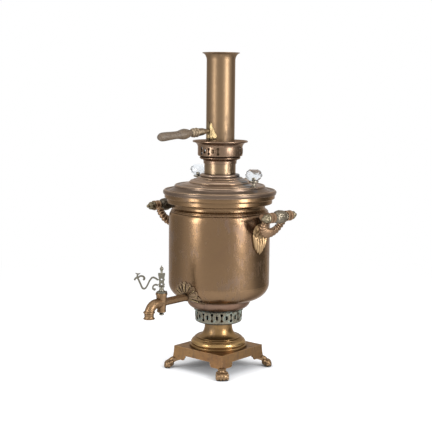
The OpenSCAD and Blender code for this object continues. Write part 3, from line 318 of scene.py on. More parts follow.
# Finishes by the beginning of a node's name, with heights and radii in metres
FINISHES = {
    "vessel": aged_brass("vessel_brass", (122, 97, 72), (100, 84, 74), (78, 66, 61),
                         tint=(108, 82, 68), roughness=0.29, **SHEET),
    "shoulder_ring": aged_brass("shoulder_brass", (123, 98, 72), (100, 84, 70), (74, 61, 53),
                                roughness=0.3, wear=0.8, rub=1.9, **SHEET),
    # Lid: painted shade darkens its lower rim, and a painted shadow streak runs from the fire
    # tube toward the right knob.
    "lid": aged_brass("lid_brass", (151, 129, 111), (128, 112, 99), (70, 58, 49),
                      tint=(94, 84, 75), bright_share=0.4, metallic=(0.8, 0.45),
                      grime_and_shade=0.5, wear=0.9, rub=2.4, painted_shade_below=(0.437, 0.447, 0.75),
                      painted_shadow_streak=((0.038, 0.020), (0.101, -0.005), 0.014), **SHEET),
    "lid_line": aged_brass("line_brass", (178, 152, 126), (148, 128, 108), (90, 76, 64),
                           roughness=0.3, wear=0),
    "chimney_pipe": aged_brass("chimney_brass", (116, 95, 72), (98, 80, 62), (76, 61, 48),
                               roughness=0.46, metallic=(0.8, 0.45), soot_inside=0.0322,
                               **SHEET),
    "chimney_grip": wood("handle_wood", (117, 103, 86), (71, 56, 44), (95, 79, 60)),
    "chimney_ferrule": aged_brass("ferrule_brass", (150, 134, 112), (112, 97, 80),
                                  (62, 52, 42), **CAST),
    "chimney": aged_brass("bracket_brass", (138, 122, 92), (104, 88, 66), (66, 54, 42),
                          **CAST),
    "leaf_gilt": aged_brass("leaf_gilt", (196, 172, 128), (158, 135, 98), (96, 78, 56),
                            **CAST),
    "crown": aged_brass("crown_brass", (124, 102, 84), (98, 81, 68), (66, 54, 46),
                        roughness=0.32, scratches=0.3, soot_inside=0.0517, soot_above=0.511),
    "fire_tube": aged_brass("tube_brass", (126, 106, 84), (98, 82, 68), (64, 54, 46),
                            soot_inside=0.0356, **SHEET),
    "pedestal": aged_brass("pedestal_brass", (134, 106, 70), (108, 88, 66), (74, 59, 48),
                           roughness=0.35, spun=0.25, grime_and_shade=0.5),
    "pedestal_band": aged_brass("band_brass", (156, 126, 84), (126, 101, 71), (78, 61, 47),
                                roughness=0.3, spun=0.2, grime_and_shade=0.3),
    "base_plate": aged_brass("base_brass", (136, 105, 71), (104, 82, 61), (62, 48, 37),
                             tint=(120, 83, 55), roughness=0.4, patch=38, bright_share=0.4,
                             scratches=0.4, grime_and_shade_reach=0.018, wear=1.0, rub=2.2, cast=1.0),
    "foot": aged_brass("foot_brass", (131, 106, 79), (105, 84, 64), (70, 56, 44), **CARVED),
    "cup": aged_brass("cup_brass", (123, 99, 83), (101, 82, 73), (75, 61, 54),
                      tint=(112, 80, 62), **SHEET),
    "gallery": aged_brass("gallery_brass", (128, 122, 106), (92, 88, 80), (52, 49, 44),
                          roughness=0.5, metallic=(0.7, 0.4), pits=0.9,
                          crust=(140, 158, 150), crust_share=0.6, soot_inside=0.0553),
    "tap_shell": aged_brass("fan_brass", (126, 106, 84), (98, 81, 66), (56, 45, 37),
                            wear=1.0, rub=2.6, **CARVED),
    "handle_shell": aged_brass("leaf_brass", (160, 133, 99), (130, 107, 80), (92, 73, 53),
                               roughness=0.42, pits=0.5, grime_and_shade=1.0, grime_and_shade_reach=0.009,
                               rub=1.3),
    "handle_yoke": aged_brass("yoke_brass", (136, 110, 86), (104, 82, 65), (62, 47, 38),
                              roughness=0.46, pits=0.7, grime_and_shade=1.0, grime_and_shade_reach=0.010,
                              rub=1.8),
    "grip": aged_brass("grip_metal", (118, 110, 96), (76, 70, 60), (33, 29, 25), **CARVED),
    # The left grip's metal is a darker copy of the right one's: painted shade, as that grip
    # stands in shadow.
    "grip_left": aged_brass("grip_metal_shaded_left", (88, 81, 71), (56, 51, 44), (25, 22, 19),
                            **CARVED),
    "grip_buttons": aged_brass("button_brass", (122, 112, 92), (84, 76, 62), (36, 31, 25),
                               roughness=0.52, pits=0.9, grime_and_shade=1.0, grime_and_shade_reach=0.008),
    "tap_key": aged_brass("key_brass", (116, 112, 100), (80, 76, 66), (42, 39, 33),
                          crust=(104, 112, 98), crust_share=0.2, rub=1.3, **CARVED),
    "tap_body": aged_brass("tap_brass", (124, 99, 73), (94, 77, 60), (60, 49, 40),
                           roughness=0.48, patch=40, pits=0.9),
    "tap_seal": wood("leather", (120, 90, 62), (84, 60, 40), (98, 72, 50)),
    "knob_glass": glass("cut_glass"),
    "knob_stem": aged_brass("stem_brass", (140, 132, 118), (104, 98, 88), (60, 56, 50),
                            **CAST),
    "grate": aged_brass("iron", (70, 65, 60), (50, 46, 43), (30, 28, 26), roughness=0.55),
}
FINISHES["key"] = FINISHES["tap_key"]
FINISHES["vent"] = FINISHES["knob_stem"]
FINISHES["tap_nut"] = FINISHES["handle_nuts"] = FINISHES["knob_nuts"] = FINISHES["pedestal"]


def finish_of(name):
    """The finish whose key is the longest beginning of a node's name."""
    return FINISHES[max((key for key in FINISHES if name.startswith(key)), key=len)]


for name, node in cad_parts.items():
    node.data.materials.clear()
    node.data.materials.append(finish_of(name))

# ---------------------------------------------------------------- detail made as meshes

# Lengths in this section are in millimetres.

SIDES = {"right": 1, "left": -1}


def add_piece(name, vertices, faces, finish, body="root", smooth=True):
    mesh = bpy.data.meshes.new(name)
    mesh.from_pydata([Vector(v) * MM for v in vertices], [], faces)
    for face in mesh.polygons:
        face.use_smooth = smooth
    piece = bpy.data.objects.new(name, mesh)
    bpy.context.scene.collection.objects.link(piece)
    mesh.materials.append(FINISHES[finish])
    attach(piece, body)
    return piece


def centre_of(node):
    """Middle of a node's box."""
    low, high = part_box(node)
    return (Vector(low) + Vector(high)) / (2 * MM)


def half_of(node):
    """Half the length of a node's box along X, Y and Z."""
    low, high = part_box(node)
    return [(end - start) / (2 * MM) for start, end in zip(low, high)]


def circle(steps, shift=0.0):
    """Angles of evenly spaced points round a circle, the first of them shift steps on."""
    return [2 * math.pi * (k + shift) / steps for k in range(steps)]


def wire(radius, height, size, steps):
    """Outline for ring of a round wire, which lies round the axis at a radius and height."""
    return [(radius + size * math.cos(angle), height + size * math.sin(angle))
            for angle in circle(steps)]


def join(parts):
    """One mesh of several, each given as its points and faces."""
    points, faces = [], []
    for part_points, part_faces in parts:
        first = len(points)
        points += part_points
        faces += [tuple(first + i for i in face) for face in part_faces]
    return points, faces


def skin(rows, count, looped=False):
    """Faces over rows of points, each row a closed loop of count points.

    looped joins the last row to the first one. Otherwise a face closes each end."""
    faces = [(row * count + k, row * count + (k + 1) % count,
              (row + 1) % rows * count + (k + 1) % count, (row + 1) % rows * count + k)
             for row in range(rows if looped else rows - 1) for k in range(count)]
    if not looped:
        faces += [tuple(reversed(range(count))), tuple(range((rows - 1) * count, rows * count))]
    return faces


def turned(profile, steps, form=None):
    """Closed form of revolution about Z; profile runs [radius, height] from pole to pole.

    form(index, angle, radius) gives the radius of one point, for lobes and carving."""
    rings = profile[1:-1]
    points = [(0, 0, profile[0][1])]
    for index, (radius, height) in enumerate(rings):
        for angle in circle(steps):
            r = form(index, angle, radius) if form else radius
            points.append((r * math.cos(angle), r * math.sin(angle), height))
    points.append((0, 0, profile[-1][1]))
    last = len(points) - 1
    top = 1 + (len(rings) - 1) * steps
    faces = []
    for k in range(steps):
        after = (k + 1) % steps
        faces.append((0, 1 + after, 1 + k))
        for i in range(len(rings) - 1):
            lower, upper = 1 + i * steps, 1 + (i + 1) * steps
            faces.append((lower + k, lower + after, upper + after, upper + k))
        faces.append((top + k, top + after, last))
    return points, faces


def ball(size, rows, steps):
    """Round form of one size about the origin."""
    return turned([(size * math.sin(math.pi * i / rows), -size * math.cos(math.pi * i / rows))
                   for i in range(rows + 1)], steps)


def ring(loop, steps, span=2 * math.pi, start=0.0):
    """A closed outline of [radius, height] points, swept about Z, with ends if not all round."""
    whole = span >= 2 * math.pi
    columns = steps if whole else steps + 1
    points = []
    for k in range(columns):
        angle = start + span * k / steps
        points += [(r * math.cos(angle), r * math.sin(angle), z) for r, z in loop]
    count = len(loop)
    faces = [(k * count + i, (k + 1) % columns * count + i,
              (k + 1) % columns * count + (i + 1) % count, k * count + (i + 1) % count)
             for k in range(steps) for i in range(count)]
    if not whole:
        faces += [tuple(range(count)), tuple(reversed(range(steps * count, (steps + 1) * count)))]
    return points, faces


def settle(piece, finish, sharp=180):
    """Turns a piece's modifiers into its mesh, with edges sharp from an angle in degrees."""
    shaped = piece.evaluated_get(bpy.context.evaluated_depsgraph_get())
    solid = bpy.data.meshes.new_from_object(shaped)
    piece.modifiers.clear()
    piece.data = solid
    solid.materials.clear()
    solid.materials.append(FINISHES[finish])
    if "custom_normal" in solid.attributes:
        solid.attributes.remove(solid.attributes["custom_normal"])
    solid.set_sharp_from_angle(angle=math.radians(sharp))
    return piece


def fused(name, balls, voxel, finish, body="root"):
    """One skin over balls of [middle, radii, turn about X], as cast metal has."""
    unit, sides = ball(1, 12, 20)
    parts = []
    for middle, radii, turn in balls:
        lean = Matrix.Rotation(math.radians(turn), 3, "X")
        parts.append(([Vector(middle) + lean @ Vector([c * r for c, r in zip(point, radii)])
                       for point in unit], sides))
    piece = add_piece(name, *join(parts), finish, body)
    remesh = piece.modifiers.new("fuse", "REMESH")
    remesh.mode = "VOXEL"
    remesh.voxel_size = voxel * MM
    remesh.use_smooth_shade = True
    relax = piece.modifiers.new("relax", "SMOOTH")
    relax.iterations = 2
    return settle(piece, finish)


CUT_SHARP = 32              # edges of pierced walls are sharp from this angle, in degrees


def pierce(piece, openings, finish):
    """Cuts openings, given as prisms, through a piece."""
    cutter = add_piece("cutter", *join(openings), finish)
    cut = piece.modifiers.new("pierce", "BOOLEAN")
    cut.object = cutter
    cut.solver = "EXACT"
    settle(piece, finish, CUT_SHARP)
    bpy.data.objects.remove(cutter)


# Polished band that the pedestal's bead carries, as [radius, height over the base], and the
# two lines above it, as [name, radius, height over the base, size]
BAND = [(60.5, 4.6), (63.6, 5.2), (65.3, 7.2), (65.8, 9.6), (65.2, 12.2), (63.8, 14.6),
        (62.2, 16.4), (60.4, 17.4), (57.5, 18)]
PEDESTAL_LINES = [("pedestal_line_low", 56.6, 20.4, 1.3), ("pedestal_line_high", 53.0, 23.4, 0.9)]
base_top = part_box("base_plate")[1][2] / MM
add_piece("pedestal_band", *ring([(r, base_top + z) for r, z in BAND], 128), "pedestal_band")
for name, radius, height, size in PEDESTAL_LINES:
    add_piece(name, *ring(wire(radius, base_top + height, size, 10), 128), "pedestal")

# Row of beads round the top of the gallery
BEADS = 96
BEAD_R = 1.75
BEAD_ROW_R = 57.0
BEAD_ROW_DROP = 3.1         # of the beads' middles below the gallery's top
gallery_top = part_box("gallery")[1][2] / MM
bead, bead_faces = ball(BEAD_R, 5, 8)
row_of_beads = []
for angle in circle(BEADS):
    spot = Vector((BEAD_ROW_R * math.cos(angle), BEAD_ROW_R * math.sin(angle),
                   gallery_top - BEAD_ROW_DROP))
    row_of_beads.append(([Vector(point) + spot for point in bead], bead_faces))
add_piece("gallery_beads", *join(row_of_beads), "gallery")

# Cut-glass knobs: rows of facets, each row turned by half a facet. A row is given as its
# shares of the knob's radius and of half its height.
KNOB_ROWS = [(0.52, -0.92), (0.86, -0.52), (1.0, -0.12), (1.0, 0.2), (0.82, 0.62), (0.5, 0.93)]
FACETS = 10


def cut_knob(middle, radius, half):
    """Knob of rows of points, with triangular facets between the rows."""
    points, faces = [], []
    for row, (share, height) in enumerate(KNOB_ROWS):
        shifted = row % 2
        points += [middle + Vector((share * radius * math.cos(angle),
                                    share * radius * math.sin(angle), height * half))
                   for angle in circle(FACETS, 0.5 * shifted)]
        if row == 0:
            continue
        lower, upper = (row - 1) * FACETS, row * FACETS
        for k in range(FACETS):
            after = (k + 1) % FACETS
            if shifted:
                faces += [(lower + k, lower + after, upper + k),
                          (lower + after, upper + after, upper + k)]
            else:
                faces += [(lower + k, upper + after, upper + k),
                          (lower + k, lower + after, upper + after)]
    faces.append(tuple(reversed(range(FACETS))))
    faces.append(tuple(range((len(KNOB_ROWS) - 1) * FACETS, len(KNOB_ROWS) * FACETS)))
    return points, faces


for side in SIDES:
    node = "knob_glass_" + side
    radius, _, half = half_of(node)
    knob = add_piece("cut_knob_" + side, *cut_knob(centre_of(node), radius, half), "knob_glass",
                     body="lid", smooth=False)
    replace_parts(knob, node)

# Carved grips: two rows of leaves that start at a beaded girdle. Shares run from 0 in the
# middle to 1 at an end.
LEAVES = 7                  # in one row
LEAF_ROWS = [(0.0, 0.0, 0.8), (0.5, 0.42, 1.0)]     # shift in leaves, depth, reach
CARVING = 2.1               # depth of the carving
LEAF_SPAN = 0.86            # share from the girdle to the tips of the longer row
FAR_TURN = 0.3              # turn of the leaves of one half against the other's, in radians
GIRDLE = 0.09               # half width of the girdle, as a share
GIRDLE_BEADS = 18
GIRDLE_GROOVE = 0.9         # depth between the beads
GRIP_ROWS = 64
GRIP_END = 5.4              # length of the turned end on each side


def leaf_relief(along, angle):
    """Height of the carving, -1 to 0, at a share of the way from the girdle to an end."""
    best = -1.0
    for shift, drop, reach in LEAF_ROWS:
        share = along / reach
        if not 0 <= share < 1:
            continue
        phase = (LEAVES * angle / (2 * math.pi) + shift + 0.5) % 1 - 0.5
        width = 0.5 * math.sqrt(1 - share ** 2.2) + 0.02
        across = abs(phase) / width
        if across < 1:
            vein = 0.30 * math.exp(-(phase / 0.05) ** 2)
            lobes = 0.14 * math.cos(9 * math.pi * share) * across
            best = max(best, -drop - 0.5 * across ** 3 - vein + lobes - 0.12)
    return max(-1.0, min(0.0, best))


def carved_grip(half, big_r):
    """Grip along Z, from -half to half, with the radius big_r in the middle."""
    end_r = big_r * 0.68
    profile = [(0, -half), (end_r - 2.5, -half), (end_r - 0.6, -half + 0.5), (end_r, -half + 2),
               (end_r - 0.4, -half + 3.3), (end_r - 1.8, -half + 4.3)]
    first = len(profile) - 1
    for i in range(GRIP_ROWS + 1):
        share = -1 + 2 * i / GRIP_ROWS
        profile.append((end_r - 0.8 + (big_r - end_r + 0.8) * math.sqrt(1 - share * share),
                        share * (half - GRIP_END)))
    profile += [(r, -z) for r, z in reversed(profile[:first + 1])]

    def form(index, angle, radius):
        share = -1 + 2 * (index - first) / GRIP_ROWS
        if abs(share) > 1:
            lobed = index < first - 1 or index > first + GRIP_ROWS + 1
            return radius * (1 - 0.09 * (0.5 + 0.5 * math.cos(8 * angle))) if lobed else radius
        if abs(share) < GIRDLE:
            groove = 0.5 - 0.5 * math.cos(GIRDLE_BEADS * angle)
            return radius - GIRDLE_GROOVE * groove * math.cos(share / GIRDLE * 1.5)
        along = (abs(share) - GIRDLE) / LEAF_SPAN
        return radius + CARVING * leaf_relief(along, angle + FAR_TURN * (share > 0))
    return turned(profile, 126, form)


BUTTON_LENGTH = 23
BUTTON_LOBED = range(5, 11)     # rings of the outline that have lobes


def reeded_button(big_r):
    """Pointed end piece with lobes, from its foot at 0 to its tip along Z."""
    outline = [(0, 0.1), (big_r - 1, 0.1), (big_r, 1), (big_r, 3), (big_r - 1.8, 4.4),
               (big_r - 1.8, 5.4), (big_r - 0.3, 6.6), (big_r, 8.4), (big_r - 0.8, 11),
               (0.78 * big_r, 13.2), (0.55 * big_r, 15.4), (0.38 * big_r, 17), (0.32 * big_r, 18),
               (0.40 * big_r, 19.4), (0.36 * big_r, 21.2), (0.2 * big_r, 22.5),
               (0, BUTTON_LENGTH)]

    def form(index, angle, radius):
        if index in BUTTON_LOBED:
            return radius * (1 - 0.17 * abs(math.cos(4 * angle)) ** 3)
        return radius
    return turned(outline, 96, form)


for side in SIDES:
    node = "grip_" + side
    middle = centre_of(node)
    _, half, big_r = half_of(node)
    points, faces = carved_grip(half, big_r)
    points = [middle + Vector((x, z, -y)) for x, y, z in points]
    # The left grip takes the darker copy of the grip metal, which paints shade on it.
    finish = "grip_left" if side == "left" else "grip"
    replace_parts(add_piece("carved_grip_" + side, points, faces, finish), node)

    node = "grip_buttons_" + side
    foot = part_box(node)[1][1] / MM - BUTTON_LENGTH
    button, button_faces = reeded_button(half_of(node)[2])
    both = [([Vector((middle.x + x, end * (foot + z), middle.z - end * y)) for x, y, z in button],
             button_faces) for end in (1, -1)]
    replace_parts(add_piece("reeded_buttons_" + side, *join(both), "grip_buttons"), node)

# Lion's paws over the rolled ends of the feet, made of balls. A toe's balls are given as
# [outward, share of the toe's way sideways, height, radii], and the heel's without the share.
FOOT_OUT = 85.254 * math.sqrt(2)    # from the axis to the middle of a foot's rolled end
CORNERS = {"front_left": (-1, -1), "front_right": (1, -1), "back_left": (-1, 1),
           "back_right": (1, 1)}
TOES = [(-2.2, -11.4), (0, -4.0), (0, 4.0), (-2.2, 11.4)]      # outward, sideways
TOE = [(-6.5, 0.86, 14.6, (4.9, 4.9, 4.7)), (0.5, 1, 11.2, (4.6, 4.6, 5.2)),
       (5.2, 1, 6.4, (4.3, 4.3, 4.9)), (7.2, 1, 3.3, (2.7, 2.7, 3.0)),
       (0, 1, 5.2, (4.4, 4.4, 4.9))]
HEEL = [(-6, 9, (8.5, 8.5, 7)), (-9.5, 18.5, (8.2, 8.2, 5.5)), (-13.5, 21.5, (8.6, 8.6, 4.4))]
paw = [(outward + back, share * across, height, radii)
       for back, across in TOES for outward, share, height, radii in TOE]
paw += [(outward, 0, height, radii) for outward, height, radii in HEEL]
for corner, (x, y) in CORNERS.items():
    out = Vector((x, y, 0)).normalized()
    along = Vector((-out.y, out.x, 0))
    balls = [(out * (FOOT_OUT + outward) + along * across + Vector((0, 0, height)), radii, 0)
             for outward, across, height, radii in paw]
    fused("paw_" + corner, balls, 0.75, "foot")

# Gallery with wide dumbbell and ringed oval openings
GALLERY_R = 55.8
GALLERY_WAIST = 33.0        # radius where it starts from the pedestal
GALLERY_WALL = 2.4
GALLERY_PAIRS = 15
GALLERY_START = -41.7       # azimuth of one dumbbell, in degrees
GALLERY_MIDDLE = 130.5      # height of the openings' middle
BOWL_STEPS = 8


def stand(outline, angle, radius, middle):
    """Points of an outline of [sideways, height], upright at an azimuth and a radius."""
    cosine, sine = math.cos(angle), math.sin(angle)
    return [(radius * cosine - y * sine, radius * sine + y * cosine, middle + z)
            for y, z in outline]


def prism(outline, angle, inner, outer, middle):
    """Prism over an outline, from the inner to the outer radius at an azimuth."""
    points = stand(outline, angle, inner, middle) + stand(outline, angle, outer, middle)
    return points, skin(2, len(outline))


def oval(width, height, steps=16):
    """Round-ended upright outline."""
    r, lift = width / 2, (height - width) / 2
    return [(r * math.cos(angle), r * math.sin(angle) + (lift if math.sin(angle) > 0 else -lift))
            for angle in circle(steps, 0.5)]


def dumbbell(height, head_r, slot_w, steps=10):
    """Outline of two round heads joined by a slot."""
    start = math.asin(slot_w / 2 / head_r)
    turn = (2 * math.pi - 2 * start) / steps
    top = [(head_r * math.cos(angle), head_r * math.sin(angle) + height / 2 - head_r)
           for angle in (-math.pi / 2 + start + turn * k for k in range(steps + 1))]
    return top + [(-y, -z) for y, z in top]


def rim(angle):
    """Raised ring round an oval opening of the gallery."""
    wide, narrow = oval(width=9.6, height=14.4), oval(width=6.2, height=11.0)
    points = []
    for outline, reach in ((wide, -0.3), (wide, 0.7), (narrow, 0.9), (narrow, -0.3)):
        points += stand(outline, angle, GALLERY_R + reach, GALLERY_MIDDLE)
    return points, skin(4, len(wide), looped=True)


# The wall's outline: from its foot over a bowl to the edge that carries the beads
gallery_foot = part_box("gallery")[0][2] / MM
outer = [(GALLERY_WAIST, gallery_foot), (GALLERY_WAIST, gallery_foot + 2)]
for k in range(1, BOWL_STEPS + 1):
    angle = math.pi / 2 * k / BOWL_STEPS
    outer.append((GALLERY_R - (GALLERY_R - GALLERY_WAIST) * (1 - math.sin(angle)),
                  gallery_foot + 8 - 6 * math.cos(angle)))
outer += [(GALLERY_R, gallery_top - 5.2), (GALLERY_R + 1.6, gallery_top - 4.6),
          (GALLERY_R + 1.6, gallery_top - 1.8), (GALLERY_R - 0.2, gallery_top - 1.0),
          (GALLERY_R - 0.2, gallery_top)]
inner = [(min(r, GALLERY_R) - GALLERY_WALL, z) for r, z in reversed(outer)]
shapes = dumbbell(height=21, head_r=3.5, slot_w=2.8), oval(width=5.6, height=10.4)
openings, rims = [], []
for k in range(2 * GALLERY_PAIRS):
    angle = math.radians(GALLERY_START + 180 * k / GALLERY_PAIRS)
    openings.append(prism(shapes[k % 2], angle, GALLERY_R - 8, GALLERY_R + 6, GALLERY_MIDDLE))
    if k % 2:
        rims.append(rim(angle))
gallery = add_piece("pierced_gallery", *ring(outer + inner, 180), "gallery")
pierce(gallery, openings, "gallery")
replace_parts(gallery, "gallery")
add_piece("gallery_rims", *join(rims), "gallery")

# Crown with wide openings: a copy of its own mesh, cut by larger shapes at the same places,
# which are three groups of five
CROWN_R = 52.0
CROWN_MIDDLE = 521.7        # height of the openings' middle
CROWN_START = -80           # azimuth of one group's middle, in degrees
CROWN_STEP = 12.3           # from one opening to the next, in degrees
WELD_GAP = 0.01             # corners of its mesh nearer than this become one
shapes = dumbbell(height=18.6, head_r=3.5, slot_w=3.2), oval(width=6, height=10.6)
openings = []
for group in range(3):
    for i in range(-2, 3):
        angle = math.radians(CROWN_START + 120 * group + CROWN_STEP * i)
        openings.append(prism(shapes[i % 2], angle, CROWN_R - 9, CROWN_R + 9, CROWN_MIDDLE))
crown = bpy.data.objects.new("pierced_crown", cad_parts["crown"].data.copy())
bpy.context.scene.collection.objects.link(crown)
crown.modifiers.new("weld", "WELD").merge_threshold = WELD_GAP * MM
pierce(crown, openings, "crown")
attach(crown, "crown")
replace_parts(crown, "crown")

# Gilt leaf of the chimney's handle, which lies on the pipe. A lobe is given as its place
# sideways and in height, half its width and half its height.
PIPE_R = 33.5
LEAF_LOBES = [(0, 567, 5.6, 21), (6.4, 561.5, 4.4, 14), (-6.4, 561.5, 4.4, 14),
              (11.4, 556, 3.8, 8.5), (-11.4, 556, 3.8, 8.5)]
fused("bracket_leaf", [((x, -math.sqrt(PIPE_R ** 2 - x * x) - 0.3, z), (wide, 3.2, tall), 0)
                       for x, z, wide, tall in LEAF_LOBES], 0.7, "leaf_gilt", "chimney")

# Rolled lines on the lid's steps, as [radius, size], each laid on the lid by a ray from above
LID_LINES = [(52.5, 0.8), (62, 0.7), (72.2, 1.0), (88, 0.7), (104.6, 1.1), (118, 0.7),
             (130.2, 1.0)]
for number, (radius, size) in enumerate(LID_LINES):
    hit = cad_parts["lid"].ray_cast(Vector((0, -radius * MM, 1)), Vector((0, 0, -1)))
    loop = wire(radius, hit[1].z / MM, size, 8)
    add_piece("lid_line_%d" % number, *ring(loop, 160), "lid_line", body="lid")

# Pale crests on the fan plate behind the tap, laid on it along rays from its middle
FAN_LEAN = 0.45             # slope of the plate
CRESTS = 9
CREST_START = -28           # direction of the first crest, in degrees
CREST_STEP = 29.5           # from one crest to the next, in degrees
CREST_INSIDE = 11           # from the plate's middle to a crest's first point
CREST_POINTS = 9
CREST_PACE = 2.6            # from one point of a crest to the next
CREST_LEAST = 4             # a crest of fewer points on the plate is left out
CREST_R = 0.75
CREST_TIP_R = 0.2
CREST_AROUND = 6
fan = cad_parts["tap_shell"]
low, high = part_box("tap_shell")
fan_middle = Vector((0, (low[1] + high[1]) / 2, (low[2] + high[2]) / 2)) / MM
inward = Vector((0, 1, FAN_LEAN)).normalized()
upward = Vector((0, -FAN_LEAN, 1)).normalized()


def spots_on_fan(angle):
    """Places on the plate, with its normals, along one ray."""
    spots = []
    for step in range(CREST_POINTS):
        reach = CREST_INSIDE + CREST_PACE * step
        across, up = reach * math.cos(angle), reach * math.sin(angle)
        start = fan_middle + Vector((across, 0, 0)) + upward * up - inward * 60
        hit = fan.ray_cast(start * MM, inward)
        if hit[0]:
            spots.append((hit[1] / MM, hit[2]))
    return spots


def crest(spots):
    """Thin round bar over places on the plate."""
    last = len(spots) - 1
    points = []
    for row, (spot, normal) in enumerate(spots):
        ahead = spots[min(row + 1, last)][0] - spots[max(row - 1, 0)][0]
        sideways = ahead.normalized().cross(normal)
        thin = CREST_R if 0 < row < last else CREST_TIP_R
        points += [spot + sideways * (thin * math.cos(angle)) + normal * (thin * math.sin(angle))
                   for angle in circle(CREST_AROUND)]
    return points, skin(len(spots), CREST_AROUND)


rays = [spots_on_fan(math.radians(CREST_START + CREST_STEP * k)) for k in range(CRESTS)]
crests = [crest(spots) for spots in rays if len(spots) >= CREST_LEAST]
add_piece("fan_crests", *join(crests), "leaf_gilt")

# Palmettes behind the side handles: a swelling palm, five long lobes under it, and two folds,
# as balls of [middle, radii, turn about X] for the right side
PALMETTE = [((119, 0, 338), (9.5, 21, 21), 0),
            ((120.5, -17, 318), (7.5, 4.7, 20), 13), ((120.5, -8.8, 314), (7.5, 4.7, 24), 6),
            ((120.5, 0, 312), (7.5, 4.7, 25), 0), ((120.5, 8.8, 314), (7.5, 4.7, 24), -6),
            ((120.5, 17, 318), (7.5, 4.7, 20), -13),
            ((125.5, 10, 337), (4.2, 3.6, 17), 36), ((125.5, -10, 337), (4.2, 3.6, 17), -36)]
for side, sign in SIDES.items():
    balls = [((sign * x, y, z), radii, turn) for (x, y, z), radii, turn in PALMETTE]
    palmette = fused("palmette_" + side, balls, 0.9, "handle_shell")
    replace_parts(palmette, "handle_shell_" + side)

# Ribs across the horseshoe of each handle, which rises from its lowest point to two eyes
EYE_Y = 32.0
# Shares of the way from the lowest point to the grip, the eye and the grip, along X, Y and Z
BOW_SHARES = [(0.04, 0.36, 0.04), (0.14, 0.75, 0.22), (0.32, 0.97, 0.5), (0.56, 1, 0.77)]
BOW_WIDTH = (10.2, 2.6)     # half width in the middle, and how much less it is at the ends
BOW_THICKNESS = (5.2, 0.6)  # the same for half the thickness
RIB_STEPS = 7               # rings of points along each rib
RIB_SWELL = 2.6             # how far a rib stands out
SQUARENESS = 2.6            # 2 makes the cross-section round
AROUND = 28


def catmull(points, per_span):
    """Points along a smooth curve through the given ones."""
    out = []
    for i in range(1, len(points) - 2):
        p0, p1, p2, p3 = points[i - 1:i + 3]
        for k in range(per_span):
            u = k / per_span
            out.append(0.5 * (2 * p1 + (p2 - p0) * u + (2 * p0 - 5 * p1 + 4 * p2 - p3) * u * u
                              + (3 * p1 - p0 - 3 * p2 + p3) * u ** 3))
    return out


grip = centre_of("grip_right")
bow_low = Vector((grip.x - 28.5, 0, grip.z - 39.6))
rise, run = grip.z - bow_low.z, grip.x - bow_low.x
half_bow = [bow_low + Vector((run * a, EYE_Y * b, rise * c)) for a, b, c in BOW_SHARES]
bow = [Vector((p.x, -p.y, p.z)) for p in reversed(half_bow)] + [bow_low] + half_bow
bow = catmull([2 * bow[0] - bow[1]] + bow + [2 * bow[-1] - bow[-2]], 2 * RIB_STEPS)
lean = Vector((rise, 0, -run)).normalized()
points = []
for i in range(1, len(bow) - 1):
    along = (bow[i + 1] - bow[i - 1]).normalized()
    thick = (lean - along * lean.dot(along)).normalized()
    wide = along.cross(thick)
    share = abs(2 * i / (len(bow) - 1) - 1)
    swell = RIB_SWELL * abs(math.sin(math.pi * i / RIB_STEPS)) ** 0.6
    half_w = BOW_WIDTH[0] - BOW_WIDTH[1] * share + swell
    half_t = BOW_THICKNESS[0] - BOW_THICKNESS[1] * share + swell
    for angle in circle(AROUND):
        cosine, sine = math.cos(angle), math.sin(angle)
        edge = (abs(cosine) ** SQUARENESS + abs(sine) ** SQUARENESS) ** (-1 / SQUARENESS)
        points.append(bow[i] + wide * (half_w * edge * cosine) + thick * (half_t * edge * sine))
for side, sign in SIDES.items():
    add_piece("ribbed_bow_" + side, [Vector((sign * p.x, p.y, p.z)) for p in points],
              skin(len(points) // AROUND, AROUND), "handle_yoke")

# Lapped seams of the rolled sheet, on the far side, as [name, finish, body, radius, lower
# and upper end]
SEAM_WIDTH = 5.5
SEAM_AZIMUTH = math.radians(118)
SEAMS = [("vessel_seam", "vessel", "root", 120.0, 196, 396),
         ("chimney_seam", "chimney_pipe", "chimney", PIPE_R, 552, 738)]
for name, finish, body, radius, bottom, top in SEAMS:
    lap = [(radius - 0.3, bottom), (radius + 0.45, bottom + 0.5), (radius + 0.45, top - 0.5),
           (radius - 0.3, top)]
    add_piece(name, *ring(lap, 8, SEAM_WIDTH / radius, SEAM_AZIMUTH), finish, body=body)

# ---------------------------------------------------------------- floor, light and camera

# Lengths in this section are in metres.

VIEW_AZIMUTH = 40.35        # degrees from the tap's side toward +X
VIEW_PITCH = 7.22           # degrees downward
VIEW_ROLL = 0.55            # degrees
VIEW_DISTANCE = 2.399       # in plan
VIEW_SIDE = -0.0083         # to the camera's right
VIEW_HEIGHT = 0.670
FOCAL_PIXELS = 1019
PHOTO_WIDTH = 432
CAMERA_SIDE = VIEW_AZIMUTH - 90     # direction of the camera, in degrees from +X

# Dark sides of the studio: azimuth, half width in degrees, and the light that is left there
DARK_SIDES = [(CAMERA_SIDE + 104, 34, 0.1), (CAMERA_SIDE - 112, 34, 0.6)]
LAMP_AIM = Vector((0, 0, 0.5))
PAPER = (0.6, 0.62, 0.65, 1)        # colour of the floor
PAINTED_SHADOW_REACH = 0.14                  # the floor's glow gives way to painted shadow where something is this near
FAR_FILL = 0.5                      # share of its white at which the far floor lights the object


def seen_directly(n):
    """1 for camera, glossy and transmission rays, 0 for the rays that light the object."""
    path = n.add("LightPath")
    both = n.math("MAXIMUM", path.outputs["Is Camera Ray"], path.outputs["Is Glossy Ray"])
    return n.math("MAXIMUM", both, path.outputs["Is Transmission Ray"])


